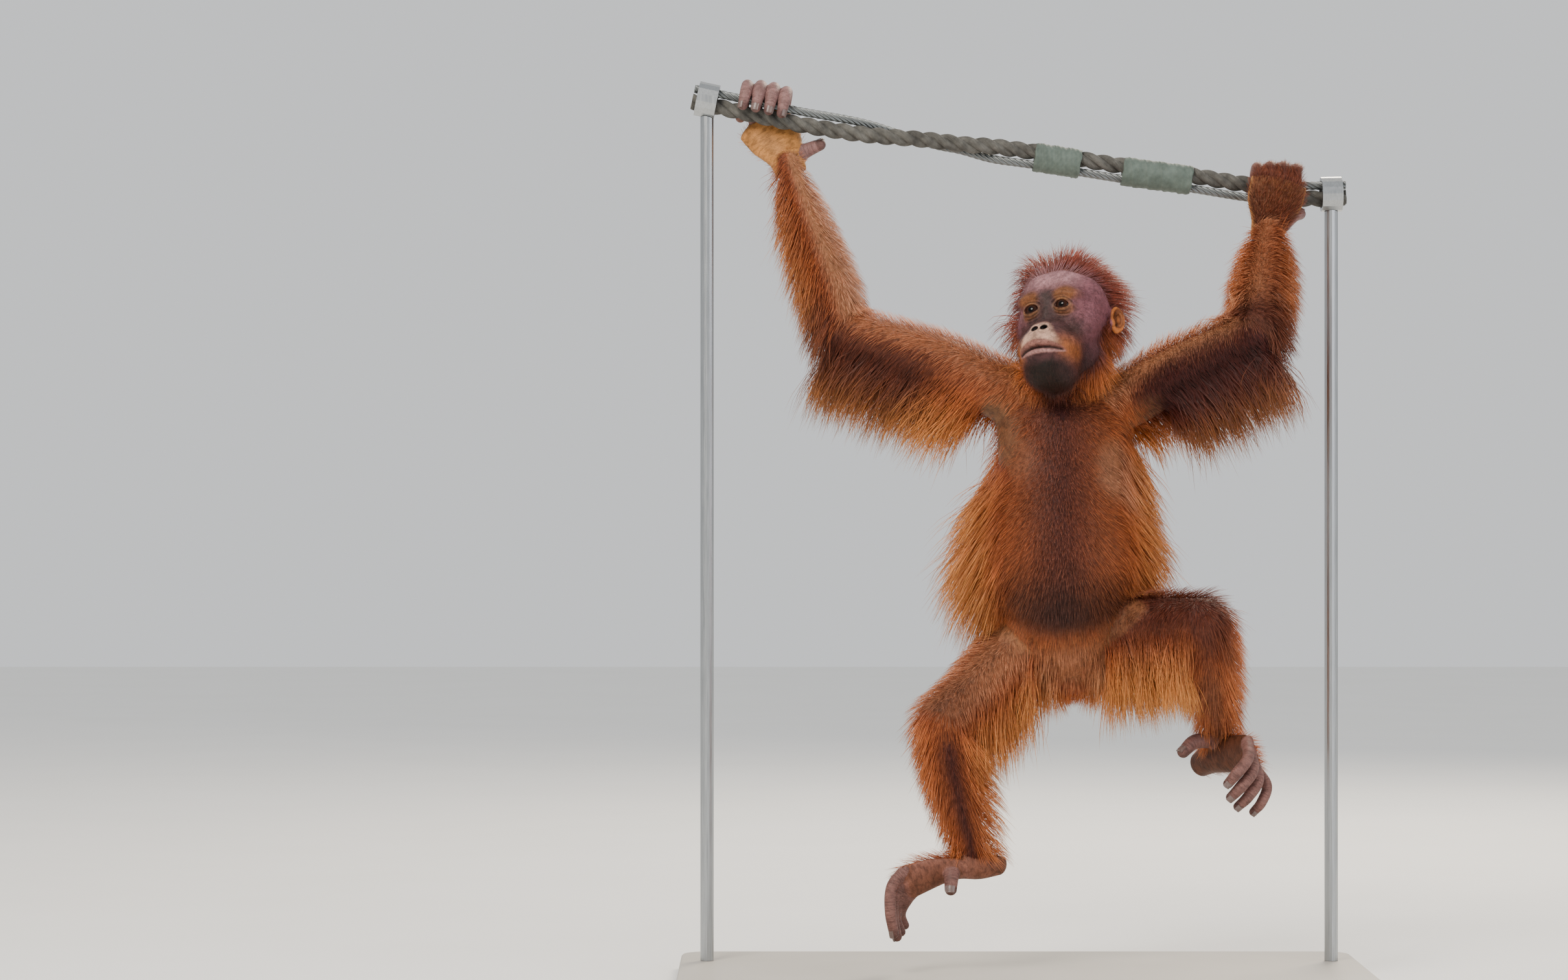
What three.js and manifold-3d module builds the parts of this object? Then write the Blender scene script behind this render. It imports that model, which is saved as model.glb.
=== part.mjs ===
// A young orangutan, life size, hanging by both hands from a cut length of cable on a display stand.
// Millimetres, +Z up. The animal faces -Y, so +X is its left. The origin is on the floor under the
// middle of the stand's base.
import * as THREE from "three";
import { mergeVertices } from "three/addons/utils/BufferGeometryUtils.js";
import Module from "manifold-3d";

const wasm = await Module();
wasm.setup();

const at = (x, y, z) => new THREE.Vector3(x, y, z);
const UP = at(0, 0, 1);
const DOWN = at(0, 0, -1);
const LEFT = at(1, 0, 0);
const RIGHT = at(-1, 0, 0);
const FRONT = at(0, -1, 0);
const BACK = at(0, 1, 0);

// Driving sizes
const GAP = 0.3; // clearance between neighbouring pieces
const PLAIN_COAT = false; // true makes each row of hair one smooth curtain

// Joints of the skeleton
const HEAD = at(50.7, -5, 779);
const SHOULDER = { right: at(-37, 14, 694), left: at(134, 10, 686) };
const ELBOW = { right: at(-209, 76, 764), left: at(261, -90, 754) };
const WRIST = { right: at(-273, 110, 961), left: at(290, 66, 880) };
const HIP = { right: at(9, 8, 401), left: at(95, 4, 411) };
const KNEE = { right: at(-95, -52, 313), left: at(197, -106, 426) };
const ANKLE = { right: at(-61, -40, 156), left: at(224, -14, 296) };

// Turn of the head: to the animal's right, face up, and leaning over
const HEAD_YAW = THREE.MathUtils.degToRad(-30);
const HEAD_PITCH = THREE.MathUtils.degToRad(-15);
const HEAD_ROLL = THREE.MathUtils.degToRad(-9);

// Cable and stand
const CABLE_DEPTH = 95;
const ROPE_RADIUS = 10;
const WIRE_RADIUS = 5;
const BASE = { long: 800, deep: 400, thick: 18, corner: 30 };
const ROD_RADIUS = 8;
const ROD_X = 368;

const COLOURS = {
  coat: "#9a4a22",
  skin: "#8a6250",
  face: "#7d5f58",
  eye: "#1d120e",
  rope: "#5a5f5c",
  wire: "#8d928f",
  tape: "#6d7f78",
  base: "#b9b2a6",
  rod: "#8f9396",
};

// Seeded random numbers, so that the coat is the same in each build
let seed = 7;
function random(low, high) {
  seed = (seed * 1664525 + 1013904223) % 4294967296;
  return low + ((high - low) * seed) / 4294967296;
}

// Turning geometry into solids and back

function solidOf(geometry) {
  const bare = geometry.index ? geometry.toNonIndexed() : geometry.clone();
  const plain = new THREE.BufferGeometry().setAttribute("position", bare.getAttribute("position"));
  const merged = mergeVertices(plain, 1e-3);
  return new wasm.Manifold(
    new wasm.Mesh({
      numProp: 3,
      vertProperties: merged.attributes.position.array,
      triVerts: new Uint32Array(merged.index.array),
    }),
  );
}

function union(solids) {
  return solids.reduce((whole, next) => whole.add(next));
}

function largest(solid) {
  const bodies = solid.decompose();
  return bodies.reduce((best, body) => (body.volume() > best.volume() ? body : best));
}

function geometryOf(solid) {
  const { vertProperties, triVerts } = solid.getMesh();
  return new THREE.BufferGeometry()
    .setAttribute("position", new THREE.BufferAttribute(new Float32Array(vertProperties), 3))
    .setIndex(new THREE.BufferAttribute(new Uint32Array(triVerts), 1));
}

// The rounding of a mesh's numbers can pinch off a sliver, so it is dropped once more here
function meshOf(name, solid, material) {
  const geometry = geometryOf(largest(solidOf(geometryOf(largest(solid)))));
  geometry.computeVertexNormals();
  const mesh = new THREE.Mesh(geometry, material);
  mesh.name = name;
  return mesh;
}

function box(size, centre, matrix = new THREE.Matrix4()) {
  const geometry = new THREE.BoxGeometry(size.x, size.y, size.z);
  geometry.translate(centre.x, centre.y, centre.z);
  return solidOf(geometry.applyMatrix4(matrix));
}

function ellipsoid(centre, radii, matrix = new THREE.Matrix4(), sides = 14) {
  const geometry = new THREE.SphereGeometry(1, sides, Math.round(sides * 0.7));
  geometry.scale(radii.x, radii.y, radii.z).translate(centre.x, centre.y, centre.z);
  return solidOf(geometry.applyMatrix4(matrix));
}

// Closed skin over rings of points, with a fan over each end. A ring of one point is a tip.
function skinOver(rings) {
  const points = rings.flat();
  const starts = [];
  rings.reduce((start, ring) => (starts.push(start), start + ring.length), 0);
  const faces = [];
  for (let i = 0; i + 1 < rings.length; i++) {
    const [a, b] = [rings[i], rings[i + 1]];
    const n = Math.max(a.length, b.length);
    for (let k = 0; k < n; k++) {
      const next = (k + 1) % n;
      const [a0, a1] = a.length > 1 ? [starts[i] + k, starts[i] + next] : [starts[i], starts[i]];
      const [b0, b1] = b.length > 1 ? [starts[i + 1] + k, starts[i + 1] + next] : [starts[i + 1], starts[i + 1]];
      if (a0 !== a1) faces.push(a0, a1, b1);
      if (b0 !== b1) faces.push(a0, b1, b0);
    }
  }
  const first = rings[0].length;
  for (let k = 1; k + 1 < first; k++) faces.push(0, k + 1, k);
  const last = starts[rings.length - 1];
  for (let k = 1; k + 1 < rings.at(-1).length; k++) faces.push(last, last + k, last + k + 1);
  const geometry = new THREE.BufferGeometry().setFromPoints(points);
  const solid = solidOf(geometry.clone().setIndex(faces));
  return solid.volume() > 0 ? solid : solidOf(geometry.setIndex(faces.reverse()));
}

// A limb, trunk, finger or rope: ellipses carried along a smooth curve through its stations.
// A station is [centre, half width, half depth], and the width lies along "across".
class Tube {
  constructor(stations, across, { rings = 8, sides = 12, roundStart = false, roundEnd = true } = {}) {
    Object.assign(this, { rings, sides, roundStart, roundEnd });
    this.line = new THREE.CatmullRomCurve3(stations.map(([centre]) => centre));
    this.sizes = new THREE.CatmullRomCurve3(stations.map(([, wide, deep]) => at(wide, deep, 0)));
    const ways = stations.map(([, , , own]) => (own ?? across).clone().normalize());
    this.ways = new THREE.CatmullRomCurve3(ways);
  }

  frame(u) {
    const centre = this.line.getPoint(u);
    const along = this.line.getTangent(u);
    const width = this.ways.getPoint(u);
    width.addScaledVector(along, -width.dot(along)).normalize();
    const depth = along.clone().cross(width);
    const size = this.sizes.getPoint(u);
    return { centre, along, width, depth, wide: size.x, deep: size.y };
  }

  // The point and outward normal of the surface at u, on the side that faces "way"
  surface(u, way) {
    const { centre, along, width, depth, wide, deep } = this.frame(u);
    const angle = Math.atan2(way.dot(depth), way.dot(width));
    const [c, s] = [Math.cos(angle), Math.sin(angle)];
    const point = centre.clone().addScaledVector(width, wide * c).addScaledVector(depth, deep * s);
    const normal = at(0, 0, 0).addScaledVector(width, c / wide).addScaledVector(depth, s / deep).normalize();
    return { point, normal, along };
  }

  ring({ centre, width, depth, wide, deep }, scale = 1) {
    return Array.from({ length: this.sides }, (_, k) => {
      const angle = (2 * Math.PI * k) / this.sides;
      return centre
        .clone()
        .addScaledVector(width, wide * scale * Math.cos(angle))
        .addScaledVector(depth, deep * scale * Math.sin(angle));
    });
  }

  // Rings that close an end like a dome, from the full ring to the tip
  dome(frame, sign, grow) {
    const reach = Math.min(frame.wide, frame.deep) * 0.8 + grow;
    const rings = (this.sides < 8 ? [50] : [35, 68]).map((degrees) => {
      const turn = THREE.MathUtils.degToRad(degrees);
      const centre = frame.centre.clone().addScaledVector(frame.along, sign * reach * Math.sin(turn));
      return this.ring({ ...frame, centre }, Math.cos(turn));
    });
    rings.push([frame.centre.clone().addScaledVector(frame.along, sign * reach)]);
    return rings;
  }

  solid(grow = 0) {
    const frames = Array.from({ length: this.rings + 1 }, (_, i) => {
      const frame = this.frame(i / this.rings);
      return { ...frame, wide: frame.wide + grow, deep: frame.deep + grow };
    });
    frames[0].centre.addScaledVector(frames[0].along, -grow);
    frames.at(-1).centre.addScaledVector(frames.at(-1).along, grow);
    const rings = frames.map((frame) => this.ring(frame));
    if (this.roundStart) rings.unshift(...this.dome(frames[0], -1, grow).reverse());
    if (this.roundEnd) rings.push(...this.dome(frames.at(-1), 1, grow));
    return skinOver(rings);
  }
}

// The half space on one side of a plane, as a large box that starts "beyond" past the point
function halfSpace(point, normal, beyond) {
  const size = 900;
  const turn = new THREE.Quaternion().setFromUnitVectors(UP, normal.clone().normalize());
  const matrix = new THREE.Matrix4().compose(point, turn, at(1, 1, 1));
  return box(at(size, size, size), at(0, 0, size / 2 + beyond), matrix);
}

// Parts a limb in two at a joint, with a gap between the two sides
function part(limb, point, normal, gap) {
  return [
    limb.subtract(halfSpace(point, normal, -gap / 2)),
    limb.subtract(halfSpace(point, normal.clone().negate(), -gap / 2)),
  ];
}

// Each piece: its solid, the same grown by the gap, and the hair that roots on it. A piece is cut clear
// of the grown forms of those before it, apart from one that is made to fit its place.
const pieces = [];
function addPiece(name, material, solid, grown = solid, fits = false) {
  const others = fits ? [] : pieces.filter((other) => boxesMeet(solid, other.grown));
  const core = largest(others.reduce((rest, other) => rest.subtract(other.grown), solid));
  const piece = { name, material, core, grown, locks: [], grownLocks: [] };
  pieces.push(piece);
  return piece;
}

function boxesMeet(a, b) {
  const [p, q] = [a.boundingBox(), b.boundingBox()];
  return p.min.every((low, i) => low <= q.max[i] && q.min[i] <= p.max[i]);
}

// Builds both the true solid and the grown one from one recipe of the growth
const both = (recipe) => [recipe(0), recipe(GAP)];

// Trunk, from the base of the neck down to the rump

const trunk = new Tube(
  [
    [at(50, 14, 690), 38, 34],
    [at(48, 11, 672), 60, 47],
    [at(46, 6, 642), 75, 60],
    [at(45, 2, 600), 75, 68],
    [at(43, -2, 555), 80, 77],
    [at(43, -5, 510), 85, 85],
    [at(44, -6, 470), 83, 86],
    [at(47, -2, 438), 75, 78],
    [at(50, 6, 410), 66, 66],
    [at(53, 12, 384), 56, 56],
    [at(53, 15, 364), 40, 42],
  ],
  LEFT,
  { rings: 15, sides: 18 },
);
const WAIST = at(50, 4, 424);
const WAIST_NORMAL = at(0, 0.35, -1).normalize();
const [torsoCore, pelvisCore] = part(trunk.solid(), WAIST, WAIST_NORMAL, GAP);
const [torsoGrown, pelvisGrown] = part(trunk.solid(GAP), WAIST, WAIST_NORMAL, 0);

// Head: a blend of simple forms in its own axes, x to the animal's left, y back and z up

const headMatrix = new THREE.Matrix4()
  .makeRotationFromEuler(new THREE.Euler(HEAD_PITCH, HEAD_ROLL, HEAD_YAW, "ZXY"))
  .setPosition(HEAD);
const EYE = at(20.5, -50, -12.5);
const EYE_RADIUS = 10.5;
const LID_THICKNESS = 1.6;
const MOUTH_Z = -64.5;
const MOUTH_HALF = 27;
const NOSTRIL = at(6, -78, -44);
const EAR = at(58, 9, -19);

const HEAD_FORMS = [
  [at(0, 6, 5), at(54, 63, 54)], // braincase
  [at(0, -26, -26), at(49, 34, 38)], // cheeks
  [at(0, -53, -60), at(36, 33, 25)], // upper jaw and lip
  [at(0, -48, -84), at(31, 30, 26)], // lower jaw and chin
  [at(0, -8, -64), at(43, 34, 28)], // angle of the jaw
  [at(21, -50, 1), at(18, 9, 7)], // brows
  [at(-21, -50, 1), at(18, 9, 7)],
  [at(0, -62, -41), at(14, 12, 8)], // nose
];
const SOCKET = at(20.5, -68, -13);
const SOCKET_RADIUS = 12;
const HEAD_BLEND = 13;

function ellipsoidDistance(p, centre, radii) {
  const scaled = p.clone().sub(centre).divide(radii);
  const slope = scaled.clone().divide(radii).length();
  const size = scaled.length();
  return (size * (size - 1)) / slope;
}

function blend(a, b, k) {
  const h = Math.max(k - Math.abs(a - b), 0) / k;
  return Math.min(a, b) - (h * h * k) / 4;
}

function headDistance(p) {
  const forms = HEAD_FORMS.map(([centre, radii]) => ellipsoidDistance(p, centre, radii));
  const flesh = forms.reduce((whole, form) => blend(whole, form, HEAD_BLEND));
  const socket = Math.hypot(Math.abs(p.x) - SOCKET.x, p.y - SOCKET.y, p.z - SOCKET.z) - SOCKET_RADIUS;
  return -blend(-flesh, socket, 8);
}

// Where a ray from inside the head meets its surface
function headSurface(from, way, grow = 0) {
  let [near, far] = [0, 160];
  for (let i = 0; i < 30; i++) {
    const middle = (near + far) / 2;
    const inside = headDistance(from.clone().addScaledVector(way, middle)) < grow;
    [near, far] = inside ? [middle, far] : [near, middle];
  }
  return from.clone().addScaledVector(way, near);
}

const HEAD_HEART = at(0, -10, -15);
const FACE_WAY = at(0, -0.87, -0.49).normalize();

function headSkin(grow, sides = 26, bands = 20) {
  const sphere = new THREE.SphereGeometry(1, sides, bands);
  const toFace = new THREE.Quaternion().setFromUnitVectors(at(0, 1, 0), FACE_WAY);
  const position = sphere.getAttribute("position");
  for (let i = 0; i < position.count; i++) {
    const way = at(position.getX(i), position.getY(i), position.getZ(i)).normalize();
    const polar = Math.acos(THREE.MathUtils.clamp(way.y, -1, 1)) / Math.PI;
    const closer = Math.PI * polar ** 1.25;
    const turn = Math.atan2(way.z, way.x);
    const radius = Math.sin(closer);
    way.set(radius * Math.cos(turn), Math.cos(closer), radius * Math.sin(turn));
    const point = headSurface(HEAD_HEART, way.applyQuaternion(toFace), grow);
    position.setXYZ(i, point.x, point.y, point.z);
  }
  return solidOf(sphere.applyMatrix4(headMatrix));
}

// A lip: a tapered roll along the mouth, lifted or lowered from its line
function lipLine(offset, sink) {
  const count = 7;
  return Array.from({ length: count }, (_, i) => {
    const share = (2 * i) / (count - 1) - 1;
    const z = MOUTH_Z + offset * (1 - share * share) - 3 * share * share;
    const surface = headSurface(at(MOUTH_HALF * share * 0.75, -30, z), FRONT);
    surface.x = MOUTH_HALF * share;
    surface.y = headSurface(at(surface.x, -30, z), FRONT).y + sink;
    return surface.applyMatrix4(headMatrix);
  });
}

function lip(offset, thick) {
  const line = lipLine(offset, 1.5);
  const stations = line.map((centre, i) => {
    const share = Math.abs((2 * i) / (line.length - 1) - 1);
    const size = thick * (1 - 0.55 * share ** 2);
    return [centre, size, size * 0.9];
  });
  return new Tube(stations, UP, { rings: 9, sides: 6, roundStart: true }).solid();
}

function mouthGroove() {
  const stations = lipLine(0, -2).map((centre) => [centre, 0.9, 6]);
  return new Tube(stations, UP, { rings: 8, sides: 4, roundEnd: false }).solid();
}

const mirrored = (p, side) => at(p.x * side, p.y, p.z);

// Almond opening between the lids, cut straight in from the front
function lidOpening(side) {
  const shape = new THREE.Shape();
  const [half, upper, lower] = [8.4, 6, 5.2];
  shape.moveTo(-half, 0);
  shape.quadraticCurveTo(-half * 0.2, upper * 1.75, half, 0);
  shape.quadraticCurveTo(0, -lower * 1.8, -half, 0);
  const cut = new THREE.ExtrudeGeometry(shape, { depth: 20, bevelEnabled: false, curveSegments: 5 });
  cut.rotateX(Math.PI / 2).scale(side, 1, 1);
  if (side < 0) cut.index ? null : flip(cut);
  cut.translate(side * EYE.x, EYE.y - 2, EYE.z);
  return solidOf(cut.applyMatrix4(headMatrix));
}

// Turns a mirrored geometry's faces round again
function flip(geometry) {
  const position = geometry.getAttribute("position");
  for (let i = 0; i < position.count; i += 3) {
    const [a, b] = [1, 2].map((k) => at(position.getX(i + k), position.getY(i + k), position.getZ(i + k)));
    position.setXYZ(i + 1, b.x, b.y, b.z);
    position.setXYZ(i + 2, a.x, a.y, a.z);
  }
  return geometry;
}

function headSolid() {
  let head = headSkin(0).add(lip(3.6, 4.2)).add(lip(-4.2, 4.0)).subtract(mouthGroove());
  for (const side of [-1, 1]) {
    const eye = mirrored(EYE, side);
    const lid = EYE_RADIUS + GAP + LID_THICKNESS;
    const rim = ellipsoid(eye, at(lid, lid, lid), headMatrix, 12);
    const ball = EYE_RADIUS + GAP;
    head = head.add(rim).subtract(lidOpening(side));
    head = head.subtract(ellipsoid(eye, at(ball, ball, ball), headMatrix, 12));
    head = head.subtract(ellipsoid(mirrored(NOSTRIL, side), at(4.6, 9, 3.2), headMatrix, 8));
  }
  return largest(head);
}

const headGrown = headSkin(GAP);

function eyeBall(side) {
  const ball = ellipsoid(mirrored(EYE, side), at(EYE_RADIUS, EYE_RADIUS, EYE_RADIUS), headMatrix, 12);
  return ball;
}

// An ear: a flattened bowl whose mouth faces out and forward
function ear(side, grow) {
  const place = new THREE.Matrix4()
    .makeRotationZ(side * THREE.MathUtils.degToRad(-32))
    .setPosition(mirrored(EAR, side))
    .premultiply(headMatrix);
  const outer = ellipsoid(at(side, 0, 0), at(5.5 + grow, 10.5 + grow, 17.5 + grow), place, 12);
  if (grow) return outer;
  const bowl = ellipsoid(at(side * 5.2, -0.5, 1.5), at(5.2, 7.4, 13), place, 8);
  return outer.subtract(bowl);
}

const neck = new Tube(
  [
    [at(49, 15, 655), 44, 36],
    [at(52, 14, 695), 42, 38],
    [at(54, 12, 738), 38, 38],
  ],
  LEFT,
  { rings: 5, sides: 14, roundEnd: false },
);

// Arms

const armStations = {
  right: {
    upper: [
      [at(-2, 10, 676), 34, 36],
      [SHOULDER.right, 36, 34],
      [at(-88, 32, 722), 33, 31],
      [at(-150, 55, 744), 29, 28],
      [ELBOW.right, 27, 26],
    ],
    fore: [
      [ELBOW.right, 27, 27],
      [at(-223, 82, 812), 31, 29],
      [at(-240, 92, 860), 28, 26],
      [at(-258, 102, 914), 22, 20],
      [WRIST.right, 19, 15],
    ],
  },
  left: {
    upper: [
      [at(97, 12, 670), 34, 36],
      [SHOULDER.left, 37, 34],
      [at(180, -28, 714), 33, 31],
      [at(224, -62, 736), 29, 28],
      [ELBOW.left, 27, 26],
    ],
    fore: [
      [ELBOW.left, 27, 27],
      [at(268, -48, 788), 31, 29],
      [at(276, -10, 818), 28, 27],
      [at(284, 32, 853), 22, 21],
      [WRIST.left, 19, 16],
    ],
  },
};
const palmStations = {
  right: [
    [at(-270, 109, 951), 18, 14],
    [at(-275, 112, 966), 22, 14],
    [at(-286, 117, 986), 31, 14],
    [at(-302, 121, 1007), 33, 12],
  ],
  left: [
    [at(289, 62, 871), 18, 15],
    [at(292, 64, 886), 22, 15],
    [at(297, 63, 908), 32, 13],
    [at(303, 66, 932), 33, 11],
  ],
};

// The cable's centre and its upward direction at each hand
const GRIP = {
  right: { centre: at(-303.5, CABLE_DEPTH, 1018.6), along: at(0.977, 0, -0.213), back: 1 },
  left: { centre: at(302, CABLE_DEPTH, 924), along: at(0.997, 0, -0.075), back: -1 },
};

// A finger's line in the cable's cross section: [away from the palm's side, up], from the knuckle to the tip
const FINGER_LINE = [
  [22, -10],
  [25, 9],
  [15, 26.5],
  [-3, 29.5],
  [-16, 20],
  [-21, 2],
];
const FINGER_NAMES = ["little", "ring", "middle", "index"];
const FINGER_REACH = [0.9, 1, 1.03, 0.98];
const FINGER_PITCH = 16;
const FINGER_RADIUS = 7.4;

function gripFinger(side, order) {
  const { centre, along, back } = GRIP[side];
  const up = at(-along.z, 0, along.x);
  const offset = (order - 1.5) * FINGER_PITCH;
  const stations = FINGER_LINE.map(([away, height], i) => {
    const reach = FINGER_REACH[order];
    const point = centre
      .clone()
      .addScaledVector(along, offset * (i < 2 ? 1 : 0.97))
      .addScaledVector(BACK, back * away * (i > 1 ? reach : 1))
      .addScaledVector(up, height * (i > 1 ? reach : 1));
    const size = FINGER_RADIUS * [0.98, 1, 1.04, 0.96, 0.95, 0.8][i];
    return [point, size, size];
  });
  return new Tube(stations, along, { rings: 5, sides: 6 });
}

const thumbs = {
  right: new Tube(
    [
      [at(-264, 110, 966), 9, 9],
      [at(-250, 113, 975), 8.5, 8.5],
      [at(-235, 106, 981), 7, 7],
    ],
    UP,
    { rings: 4, sides: 7 },
  ),
  left: new Tube(
    [
      [at(309, 66, 886), 9, 9],
      [at(321, 74, 896), 8.5, 8.5],
      [at(330, 88, 898), 7, 7],
    ],
    UP,
    { rings: 4, sides: 7 },
  ),
};

// Legs

const legStations = {
  right: {
    thigh: [
      [at(38, 12, 404), 42, 38],
      [HIP.right, 43, 40],
      [at(-26, -12, 373), 37, 35],
      [at(-62, -34, 340), 32, 31],
      [KNEE.right, 28, 28],
    ],
    shin: [
      [KNEE.right, 28, 28],
      [at(-89, -47, 272), 29, 29],
      [at(-79, -44, 226), 26, 26],
      [at(-68, -42, 184), 19, 20],
      [ANKLE.right, 16, 17],
      [at(-58, -40, 146), 14, 14],
    ],
  },
  left: {
    thigh: [
      [at(72, 12, 406), 42, 38],
      [HIP.left, 43, 40],
      [at(130, -34, 417), 37, 35],
      [at(165, -72, 423), 32, 31],
      [KNEE.left, 28, 28],
    ],
    shin: [
      [KNEE.left, 28, 28],
      [at(203, -86, 392), 29, 29],
      [at(211, -60, 356), 26, 26],
      [at(219, -36, 322), 19, 20],
      [ANKLE.left, 16, 17],
      [at(222, -10, 284), 14, 14],
    ],
  },
};

// A foot, from the heel to the ball: its width turns from level to upright, so that the sole looks inward
const footStations = {
  right: [
    [at(-33, -34, 144), 15, 14, at(0, 1, 0.1)],
    [at(-56, -40, 142), 18, 16, at(0, 1, 0)],
    [at(-82, -44, 141), 20, 13, at(0, 0.8, -0.6)],
    [at(-110, -49, 135), 22, 11, at(0.1, 0.5, -0.86)],
    [at(-136, -52, 126), 23, 10, at(0.25, 0.3, -0.92)],
  ],
  left: [
    [at(208, 20, 255), 15, 14, at(0.3, 0, -0.95)],
    [at(219, 2, 263), 18, 16, at(0.3, 0, -0.95)],
    [at(230, -20, 267), 20, 13, at(0.25, 0, -0.97)],
    [at(243, -42, 270), 22, 11, at(0.25, 0, -0.97)],
    [at(254, -60, 271), 23, 10, at(0.25, 0, -0.97)],
  ],
};
const TOE_NAMES = ["big", "second", "third", "fourth", "fifth"];
const toeLines = {
  right: [
    [at(-84, -50, 140), at(-86, -61, 131), at(-87, -67, 117)],
    [at(-138, -58, 139), at(-154, -62, 120), at(-156, -66, 92), at(-152, -63, 66)],
    [at(-137, -53, 128), at(-151, -51, 108), at(-153, -50, 84), at(-148, -48, 61)],
    [at(-135, -49, 117), at(-147, -41, 99), at(-149, -35, 80), at(-143, -33, 65)],
    [at(-133, -45, 107), at(-141, -33, 93), at(-143, -22, 82), at(-138, -17, 71)],
  ],
  left: [
    [at(216, -24, 284), at(194, -41, 284), at(180, -50, 273)],
    [at(252, -62, 286), at(250, -88, 268), at(236, -103, 252), at(226, -101, 240)],
    [at(255, -62, 276), at(256, -84, 254), at(241, -97, 236), at(230, -94, 224)],
    [at(258, -60, 266), at(263, -78, 243), at(250, -88, 224), at(239, -86, 213)],
    [at(261, -57, 256), at(274, -66, 236), at(267, -75, 217), at(258, -73, 206)],
  ],
};
const TOE_RADIUS = [8.4, 6.6, 6.8, 6.5, 6];

function toe(side, order) {
  const radius = TOE_RADIUS[order];
  const line = toeLines[side][order];
  const stations = line.map((centre, i) => {
    const size = radius * (1 - (0.16 * i) / (line.length - 1));
    return [centre, size, size];
  });
  return new Tube(stations, LEFT, { rings: line.length, sides: 6 });
}

const skin = (colour, roughness = 0.85) => new THREE.MeshStandardMaterial({ color: colour, roughness });

// Cable: a three-strand fibre rope with a thinner wire rope lying along it, taped together twice

const cableLine = new THREE.CatmullRomCurve3([
  at(-385, CABLE_DEPTH, 1036),
  at(-346, CABLE_DEPTH, 1027.7),
  at(-303.5, CABLE_DEPTH, 1018.6),
  at(-253, CABLE_DEPTH, 1008),
  at(-159, CABLE_DEPTH, 992.6),
  at(-65.8, CABLE_DEPTH, 978),
  at(28.2, CABLE_DEPTH, 965),
  at(121.4, CABLE_DEPTH, 950),
  at(196.3, CABLE_DEPTH, 939.8),
  at(262, CABLE_DEPTH, 929),
  at(302.6, CABLE_DEPTH, 924),
  at(337, CABLE_DEPTH, 921.5),
  at(385, CABLE_DEPTH, 922),
]);
// How far round the rope the wire lies, in degrees: 90 on top, 0 behind, -90 beneath, and round the front to the top
const WIRE_TURNS = [
  [0, 90],
  [0.2, 90],
  [0.4, -20],
  [0.5, -90],
  [0.84, -90],
  [0.93, -270],
  [1, -270],
];
const ROPE_LAY = 130; // length of one turn of the strands
const CABLE_LENGTH = cableLine.getLength();

function wireTurn(share) {
  const k = Math.max(1, WIRE_TURNS.findIndex(([s]) => s >= share));
  const [[s0, a0], [s1, a1]] = [WIRE_TURNS[k - 1], WIRE_TURNS[k]];
  const t = THREE.MathUtils.smoothstep(share, s0, s1);
  return THREE.MathUtils.degToRad(a0 + (a1 - a0) * t);
}

function cableFrame(share) {
  const middle = cableLine.getPointAt(share);
  const along = cableLine.getTangentAt(share);
  const up = at(-along.z, 0, along.x);
  const turn = wireTurn(share);
  const away = at(0, 0, 0).addScaledVector(BACK, Math.cos(turn)).addScaledVector(up, Math.sin(turn));
  return { middle, along, up, away };
}

const ropeCentre = ({ middle, away }) => middle.clone().addScaledVector(away, -WIRE_RADIUS);
const wireCentre = ({ middle, away }) => middle.clone().addScaledVector(away, ROPE_RADIUS + GAP);

// Three lobes that turn along the rope
function ropeSolid(grow, steps = 46, points = 6) {
  const rings = Array.from({ length: steps + 1 }, (_, i) => {
    const frame = cableFrame(i / steps);
    const centre = ropeCentre(frame);
    const twist = (2 * Math.PI * CABLE_LENGTH * i) / steps / ROPE_LAY;
    return Array.from({ length: points }, (_, k) => {
      const angle = (2 * Math.PI * k) / points + twist;
      const radius = (k % 2 ? 0.86 : 1) * ROPE_RADIUS + grow;
      return centre
        .clone()
        .addScaledVector(BACK, radius * Math.cos(angle))
        .addScaledVector(frame.up, radius * Math.sin(angle));
    });
  });
  return skinOver(rings);
}

function roundAlong(centreOf, radius, from, to, steps, sides) {
  const rings = Array.from({ length: steps + 1 }, (_, i) => {
    const frame = cableFrame(from + ((to - from) * i) / steps);
    const centre = centreOf(frame);
    return Array.from({ length: sides }, (_, k) => {
      const angle = (-2 * Math.PI * k) / sides;
      return centre
        .clone()
        .addScaledVector(BACK, radius * Math.cos(angle))
        .addScaledVector(frame.up, radius * Math.sin(angle));
    });
  });
  return skinOver(rings);
}

const ropeGrown = ropeSolid(GAP);
const wireGrown = roundAlong(wireCentre, WIRE_RADIUS + GAP, 0, 1, 28, 5);
const cableMaterial = skin(COLOURS.rope, 0.95);
const wireMaterial = new THREE.MeshStandardMaterial({ color: COLOURS.wire, roughness: 0.45, metalness: 0.8 });
addPiece("cable_wire", wireMaterial, roundAlong(wireCentre, WIRE_RADIUS, 0, 1, 28, 5), wireGrown);
addPiece("cable_rope", cableMaterial, ropeSolid(0), ropeGrown);

// A sleeve of tape round both ropes
function tape(from, to) {
  const middle = ({ middle: centre, away }) => centre.clone().addScaledVector(away, 1);
  return roundAlong(middle, ROPE_RADIUS + 6.6, from, to, 2, 12);
}
const tapeMaterial = skin(COLOURS.tape, 0.6);
const TAPES = [
  [0.525, 0.595],
  [0.66, 0.765],
];
TAPES.forEach(([from, to], i) => {
  addPiece(`cable_tape_${i + 1}`, tapeMaterial, tape(from, to));
});

// Puts the animal together

const coatMaterial = skin(COLOURS.coat, 0.9);
const bareSkin = skin(COLOURS.skin, 0.7);
const faceMaterial = skin(COLOURS.face, 0.7);
const eyeMaterial = skin(COLOURS.eye, 0.15);

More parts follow.
